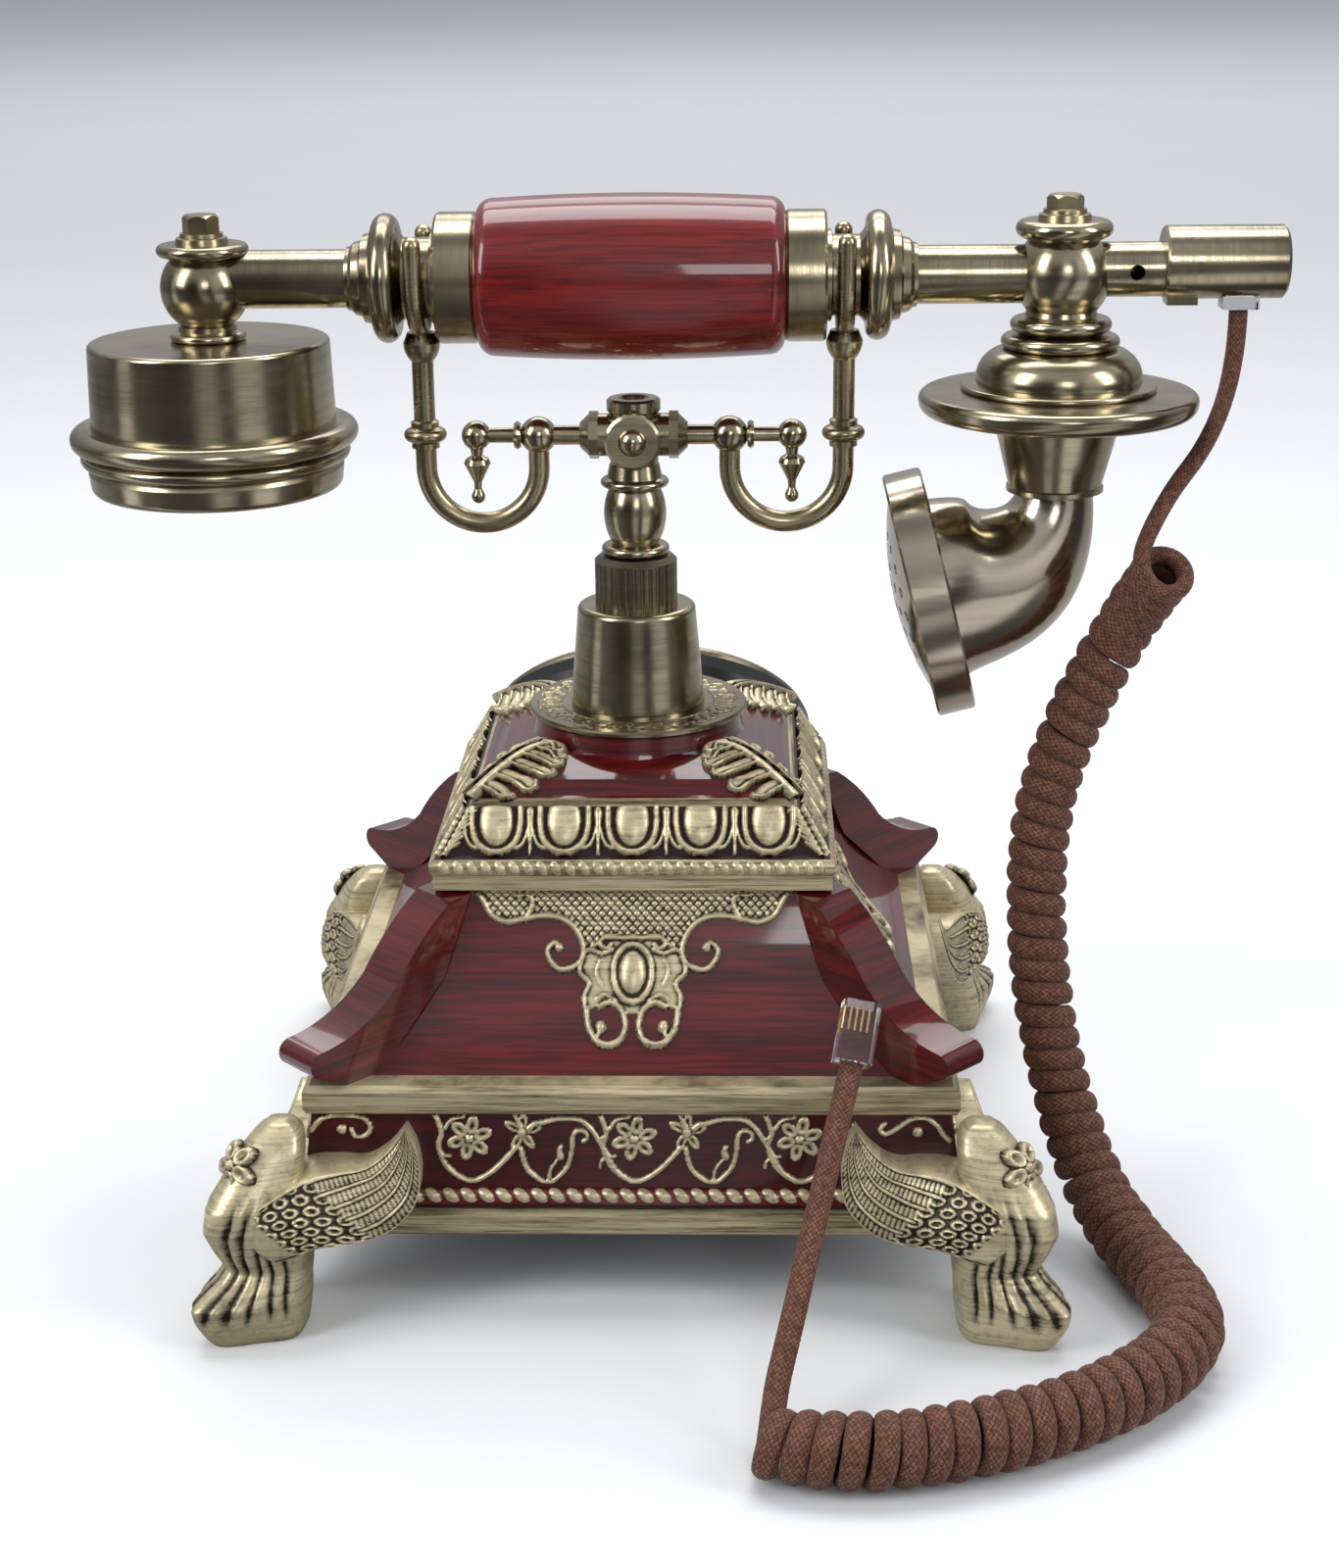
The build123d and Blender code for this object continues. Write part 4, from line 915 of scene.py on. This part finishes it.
WING_TOP = [(-82, 24), (-78.6, 28.4), (-72.3, 32.4), (-66, 34.6), (-60.4, 35), (-54.7, 34.9), (-50, 37.7),
            (-46.4, 42)]
WING_FOOT = [(-76, 17), (-69.5, 19.4), (-65.4, 21.2), (-60.5, 21.6), (-54, 21), (-48.9, 22.4), (-44.6, 26.6),
             (-43.5, 32), (-44.3, 37.7), (-46.4, 42)]
# How far the wing stands out from the middle of the base, at these shares of its length.
WING_SHARES = (0, 0.08, 0.2, 0.32, 0.5, 0.75, 1)
WING_STAND = (80.0, 84.4, 85.2, 83.4, 78.4, 73.6, 70.2)
WING_BACK = -66.5
WING_FEATHERS = 5


def wing(rows=150, columns=76):
    """A wing on the side towards -Y: feathers with barbs that sweep to the tip, and scales at the shoulder."""
    along = np.linspace(0, 1, rows)
    edges = []
    for outline in (WING_TOP, WING_FOOT):
        line = smooth_line(outline, 12)
        share = walked(line) / walked(line)[-1]
        edges.append([np.interp(along, share, values)[:, None] for values in line.T])
    s = along[:, None]
    t = np.linspace(0, 1, columns)[None, :]
    x = edges[0][0] * (1 - t) + edges[1][0] * t
    z = edges[0][1] * (1 - t) + edges[1][1] * t
    band = (t * WING_FEATHERS) % 1
    feather = np.clip((s - 0.44) / 0.05, 0, 1)
    quill = np.exp(-((band - 0.14) / 0.13) ** 2)
    barbs = 0.5 + 0.5 * np.sin(tau * (s * 46 + band * 1.6))
    vane = 0.35 + 0.45 * band * (0.35 + 0.65 * barbs)
    feathers = 0.25 + 1.0 * np.maximum(quill, vane * (band > 0.2))
    row = np.floor(s * 14)
    cell_s = (s * 14) % 1 - 0.5
    cell_t = (t * 5.5 + 0.5 * (row % 2)) % 1 - 0.5
    far = np.hypot(cell_s / 0.46, cell_t / 0.44)
    scale_zone = np.clip((s - 0.17) / 0.05, 0, 1)
    scales = 0.35 + 0.75 * np.clip(1 - np.abs(far - 0.72) / 0.3, 0, 1) * scale_zone + 0.4 * (1 - scale_zone)
    height = feathers * feather + scales * (1 - feather)
    rim = np.exp(-(t / 0.045) ** 2) + np.exp(-((t - 1) / 0.045) ** 2)
    height = np.maximum(height, 1.25 * rim)
    swell = 2.6 * (np.sqrt(np.clip(1 - (2 * t - 1) ** 2, 0, 1)) - 0.6) * (1 - 0.75 * s)
    y = -(np.interp(s, WING_SHARES, WING_STAND) + swell + 1.15 * height)
    front = np.stack([x, y, z], axis=2)
    top, foot = front[:, :1].copy(), front[:, -1:].copy()
    top[..., 1] = foot[..., 1] = WING_BACK
    places = np.concatenate([top, front, foot], axis=1).reshape(-1, 3)
    # The hollows between feathers and scales darken the gilding: dark wax and painted shade.
    return places, grid_faces(rows, columns + 2), np.pad(hollows(height, 0.09), ((0, 0), (1, 1))).ravel()


def corner_flower():
    """Cupped petals round a bead, on the leg's shoulder."""
    relief = Relief(-6, 6, -6, 6, 0.2)
    for k in range(5):
        turn = tau * k / 5 + pi / 2
        relief.oval((3.2 * cos(turn), 3.2 * sin(turn)), (2.35, 1.75), turn, 1.5, rim=1)
    relief.oval((0, 0), (1.2, 1.2), 0, 1.8)
    facing = unit(np.array([-0.64, -0.64, 0.42]))
    level = unit(np.array([1.0, -1.0, 0.0]))
    upright = np.cross(level, facing)

    def on_shoulder(u, v):
        middle = np.array([-80.6, -80.6, 38.6])
        places = middle + u[:, None] * level + v[:, None] * upright - 0.05 * (u**2 + v**2)[:, None] * facing
        return places, np.tile(facing, (len(u), 1))

    return relief.part(on_shoulder, bottom=-1.2)


def swapped(part):
    """The same part across the corner's diagonal."""
    places, faces, deep = part
    return places[:, [1, 0, 2]], faces[:, ::-1], deep


def flipped(part, x, y):
    """The same part at another corner."""
    places, faces, deep = part
    return places * (x, y, 1), faces if x * y > 0 else faces[:, ::-1], deep


foot_parts = [leg(), wing(), swapped(wing()), corner_flower()]
for name, node, y in (("rear_feet_carved", "rear_feet", 1), ("front_feet_carved", "front_feet", -1)):
    feet = carved_object(name, [flipped(part, x, y) for x in (1, -1) for part in foot_parts])
    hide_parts(node)

# ---- leaves and small parts


LEAF_LENGTH = 21


def acanthus():
    """Half a leaf, lobes hanging from its spine: u along the spine from its foot, v across it."""
    relief = Relief(0, LEAF_LENGTH, 0, 12.5, 0.25)
    relief.stroke([(0.5, 0.6), (6, 0.5), (12, 0.6), (17, 0.9), (19.5, 2.2)], 1.1, 0.8, 2.2)
    tips = ((2.2, 8.0), (5.8, 10.0), (9.6, 10.8), (13.2, 9.6), (16.4, 7.4), (18.8, 4.8))
    for k, (u, v) in enumerate(tips):
        root = (u + 1.8 - 0.2 * k, 0.8)
        middle = (u + 1.6, 0.55 * v)
        relief.stroke([root, middle, (u, v)], 1.5, 1.0, 1.5)
        relief.stroke([(root[0] - 0.9, 1.0), (u + 0.5, 0.55 * v), (u - 1.1, v - 0.4), (u - 0.2, v + 0.7),
                       (u + 1.0, v - 0.2)], 0.42, 0.5, 2.0)
        relief.stroke([(u + 1.9, 0.4 * v), (u + 1.1, 0.75 * v)], 0.35, 0.25, 0.9)
    return relief


CUSHION_HEIGHT = np.arange(101.4, 106.4, 0.25)
CUSHION_REACH = np.interp(CUSHION_HEIGHT, PROFILE_HEIGHTS, PROFILE_REACH)


def on_corner(u, v):
    """The cushion under the neck, from the corner at -X and -Y: u inward up the ridge, v along -Y's side."""
    share = u / LEAF_LENGTH
    inward = -35.0 + 16.5 * share
    ridge = np.stack([inward, inward, 101.6 + 7.4 * np.sin(share * pi / 2)], axis=1)
    away = unit(np.array([0.93, -0.06, -0.36]))
    places = ridge + v[:, None] * away
    out = -np.minimum(places[:, 0], places[:, 1])
    floor_height = np.interp(out, CUSHION_REACH[::-1], CUSHION_HEIGHT[::-1])
    places[:, 2] = np.maximum(places[:, 2], floor_height - 0.2)
    return places, np.tile(unit(np.array([-0.15, -0.6, 0.78])), (len(u), 1))


leaf = acanthus().part(on_corner, bottom=-0.6)
leaves = []
for quarter in range(4):
    for places, faces, deep in (leaf, swapped(leaf)):
        places = quarter_turned(places, quarter)
        leaves.append((places, faces[clear_of_openings(places[faces].mean(axis=1))], deep))
carved_object("corner_leaves", leaves)

PLATE_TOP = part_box("top_plate")[1].z / MM
PLATE_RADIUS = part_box("top_plate")[1].x / MM
PLATE_MARGIN = 1.2
ENGRAVINGS = 14
ENGRAVING_PITCH = 10.4


def plate_engraving():
    """Scrolls and leaves round the plate's rim: u round it in scrolls, v inward from its edge."""
    relief = Relief(0, ENGRAVING_PITCH * ENGRAVINGS, 0, 6.6, 0.22)
    for k in range(ENGRAVINGS):
        x = ENGRAVING_PITCH * k

        def put(points, start, end=None):
            relief.stroke([(x + a, b) for a, b in points], start, end, 0.26)

        put([(0.2, 1.6), (1.6, 0.9), (3.2, 1.4), (3.9, 2.9), (3.0, 4.3), (1.7, 4.0), (1.6, 2.9), (2.4, 2.7)],
            0.34, 0.26)
        put([(3.8, 3.0), (5.2, 4.6), (7.2, 4.9), (8.6, 3.7), (8.2, 2.2), (6.9, 1.9), (6.3, 2.9)], 0.34, 0.26)
        put([(5.2, 4.6), (4.4, 5.4), (3.2, 5.5)], 0.4, 0.2)
        put([(8.6, 3.7), (9.6, 4.7), (10.2, 5.4)], 0.4, 0.2)
        put([(3.9, 1.6), (5.0, 0.9), (6.0, 0.9)], 0.4, 0.2)
        relief.oval((x + 9.6, 2.2), (0.7, 0.7), 0, 0.28)
    relief.stroke([(0, 6.1), (ENGRAVING_PITCH * ENGRAVINGS, 6.1)], 0.25, None, 0.24)
    return relief


def on_plate(u, v):
    turn = u / (ENGRAVING_PITCH * ENGRAVINGS) * tau
    reach = PLATE_RADIUS - PLATE_MARGIN - v
    places = np.stack([reach * np.cos(turn), reach * np.sin(turn), 0 * u + PLATE_TOP], axis=1)
    return places, np.tile(np.array([0.0, 0.0, 1.0]), (len(u), 1))


plate_metal = brushed_metal("brass_engraved", "z", (0.40, 0.34, 0.22), (0.05, 0.04, 0.024), 0.22)
places, faces, deep = plate_engraving().part(on_plate, bottom=-0.1)
carved_object("plate_engraving", [(places, faces[:, ::-1], deep)], plate_metal)

# Numbers under the dial's finger holes.
DIAL_LEVEL = (
    Matrix.Translation(Vector(DIAL_CENTRE) * MM)
    @ Matrix.Rotation(pi, 4, "Z")
    @ Matrix.Rotation(pi / 4, 4, "X")
)
DIGIT_SIZE = 8.5 * MM
DIGIT_CIRCLE = 25 * MM
DIGIT_LEVEL = -1.57 * MM
FIRST_HOLE, HOLE_STEP = 39, 29
ink = plastic("number_ink", (0.015, 0.015, 0.017), 0.4)
for k in range(10):
    angle = radians(FIRST_HOLE + HOLE_STEP * k)
    letters = bpy.data.curves.new("digit", "FONT")
    letters.body = str((k + 1) % 10)
    letters.size = DIGIT_SIZE
    letters.extrude = 0.04 * MM
    letters.align_x = letters.align_y = "CENTER"
    shaped = bpy.data.objects.new("digit", letters)
    outline = bpy.data.meshes.new_from_object(shaped)
    bpy.data.objects.remove(shaped)
    spot = (DIGIT_CIRCLE * cos(angle), DIGIT_CIRCLE * sin(angle), DIGIT_LEVEL)
    outline.transform(DIAL_LEVEL @ Matrix.Translation(spot))
    outline.materials.clear()
    outline.materials.append(ink.material)
    digit = linked(f"dial_number_{letters.body}", outline)
    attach(digit, "base")

# Contacts in the two clear plugs: gilt blades near the nose, so far from the plug's foot and from its middle.
BLADES = 4
BLADE_PITCH = 1.27
BLADE_ALONG, BLADE_DEPTH = 9.3, 2.2
contact_metal = brushed_metal("contact_gilt", "z", (0.80, 0.58, 0.25), (0.5, 0.34, 0.12), 0.2)


def plug_contacts(name, foot, level, nose, body):
    """Four blades inside a plug that runs from its foot along nose, level across it."""
    nose = unit(np.array(nose, dtype=float))
    level = np.array(level, dtype=float)
    level = unit(level - nose * (level @ nose))
    depth = np.cross(nose, level)
    parts = []
    for k in range(BLADES):
        across = BLADE_PITCH * (k - (BLADES - 1) / 2)
        middle = np.array(foot) + nose * BLADE_ALONG + level * across + depth * BLADE_DEPTH
        corners = [
            middle + level * (0.19 * a) + nose * (2.4 * b) + depth * (0.8 * c + 0.25 * b * (c + 1))
            for a in (-1, 1) for b in (-1, 1) for c in (-1, 1)
        ]
        quads = np.array([(0, 1, 3, 2), (4, 6, 7, 5), (0, 4, 5, 1), (2, 3, 7, 6), (0, 2, 6, 4), (1, 5, 7, 3)])
        parts.append((np.array(corners), quads, np.zeros(8)))
    carved_object(name, parts, contact_metal, body).data.shade_flat()


PLUG_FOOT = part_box("cord_plug_handset")[0]
plug_contacts("plug_contacts_handset", (127.7, 0, PLUG_FOOT.z / MM), (1, 0, 0), (0, 0, 1), "handset")
plug_contacts("plug_contacts_far", LOWER_ROUTE[-1], (1, 0, -0.2), (2.2, 7.5, 10.0), "base")

# ---- floor and lights

# Bright and dark strips all round, as window frames and curtains give, by the bearing: 0.5 is towards -Y.
STRIPS = (
    (0.0, 0.60), (0.22, 0.32), (0.262, 0.04), (0.272, 1.0), (0.30, 1.0), (0.312, 0.07), (0.47, 0.05),
    (0.492, 0.55), (0.525, 0.55), (0.545, 0.04), (0.572, 0.06), (0.594, 1.0), (0.65, 0.85), (0.672, 0.06),
    (0.744, 0.04), (0.778, 0.40), (0.917, 0.60),
)
LOW_TO_HIGH = ((0.0, 0.45), (0.2, 0.6), (0.45, 0.8), (0.62, 0.62), (0.85, 0.62), (0.95, 0.3))
CEILING = ((0.35, 0.0), (0.70, 1.0))


def strips(nodes, direction):
    """The strips' brightness, by the bearing of a direction."""
    x, y = (nodes.node("SeparateXYZ", {0: direction}, output=axis) for axis in "XY")
    bearing = nodes.math("ARCTAN2", x, nodes.math("MULTIPLY", y, -1.0))
    return nodes.ramp(nodes.math("MULTIPLY_ADD", bearing, 1 / tau, 0.5), STRIPS)


# The floor is pale to the camera, and in mirrored rays the strips go on below the horizon.
floor_finish = Finish("floor", rough=0.6, specular=0.2)
pale = floor_finish.mix(floor_finish.noise((0.004, 0.004, 0.004)), (0.66, 0.68, 0.70), (0.69, 0.705, 0.725))
mirrored_ray = floor_finish.node("LightPath", output="Is Glossy Ray")
striped = strips(floor_finish, floor_finish.node("TexCoord", output="Object"))
striped = floor_finish.mix(0.62, (0.02, 0.02, 0.02), striped)
floor_finish.set("colour", floor_finish.mix(mirrored_ray, pale, striped))
floor = made_object("floor", [(-30, -30, 0), (30, -30, 0), (30, 30, 0), (-30, 30, 0)], [(0, 1, 2, 3)])
floor.data.materials.append(floor_finish.material)


def soft_box(name, place, aim, width, height, watts):
    light = bpy.data.lights.new(name, "AREA")
    light.shape = "RECTANGLE"
    light.size, light.size_y = width, height
    light.energy = watts
    box = linked(name, light)
    box.location = place
    box.rotation_euler = (Vector(aim) - Vector(place)).to_track_quat("-Z", "Y").to_euler()


soft_box("light_left", (-1.1, -0.7, 0.9), (0, 0, 0.12), 0.5, 1.0, 13)
soft_box("light_right", (1.2, -0.5, 0.8), (0, 0, 0.12), 0.35, 0.9, 8.5)
soft_box("light_top", (0.0, 0.35, 1.3), (0, 0, 0.12), 1.2, 0.6, 13)
soft_box("light_front", (0.25, -1.6, 0.7), (0, 0, 0.1), 0.4, 0.4, 3.0)
soft_box("light_back", (0, 3.0, 2.6), (0, 3.0, 0), 3.0, 2.0, 45)

world = bpy.data.worlds.new("studio")
world.use_nodes = True
bpy.context.scene.world = world
sky = Nodes(world.node_tree)
direction = sky.node("TexCoord", output="Generated")
height = sky.node("SeparateXYZ", {0: direction}, output="Z")
all_round = sky.mix(sky.ramp(height, CEILING), strips(sky, direction), (0.75, 0.76, 0.78))
lit = sky.mix(1.0, all_round, sky.ramp(height, LOW_TO_HIGH), "MULTIPLY")
seen = sky.mix(sky.node("LightPath", output="Is Camera Ray"), lit, (0.45, 0.46, 0.475))
background = world.node_tree.nodes["Background"]
sky.put(background.inputs["Color"], seen)
sky.put(background.inputs["Strength"], 1.25)

bpy.context.scene.view_settings.view_transform = "Standard"
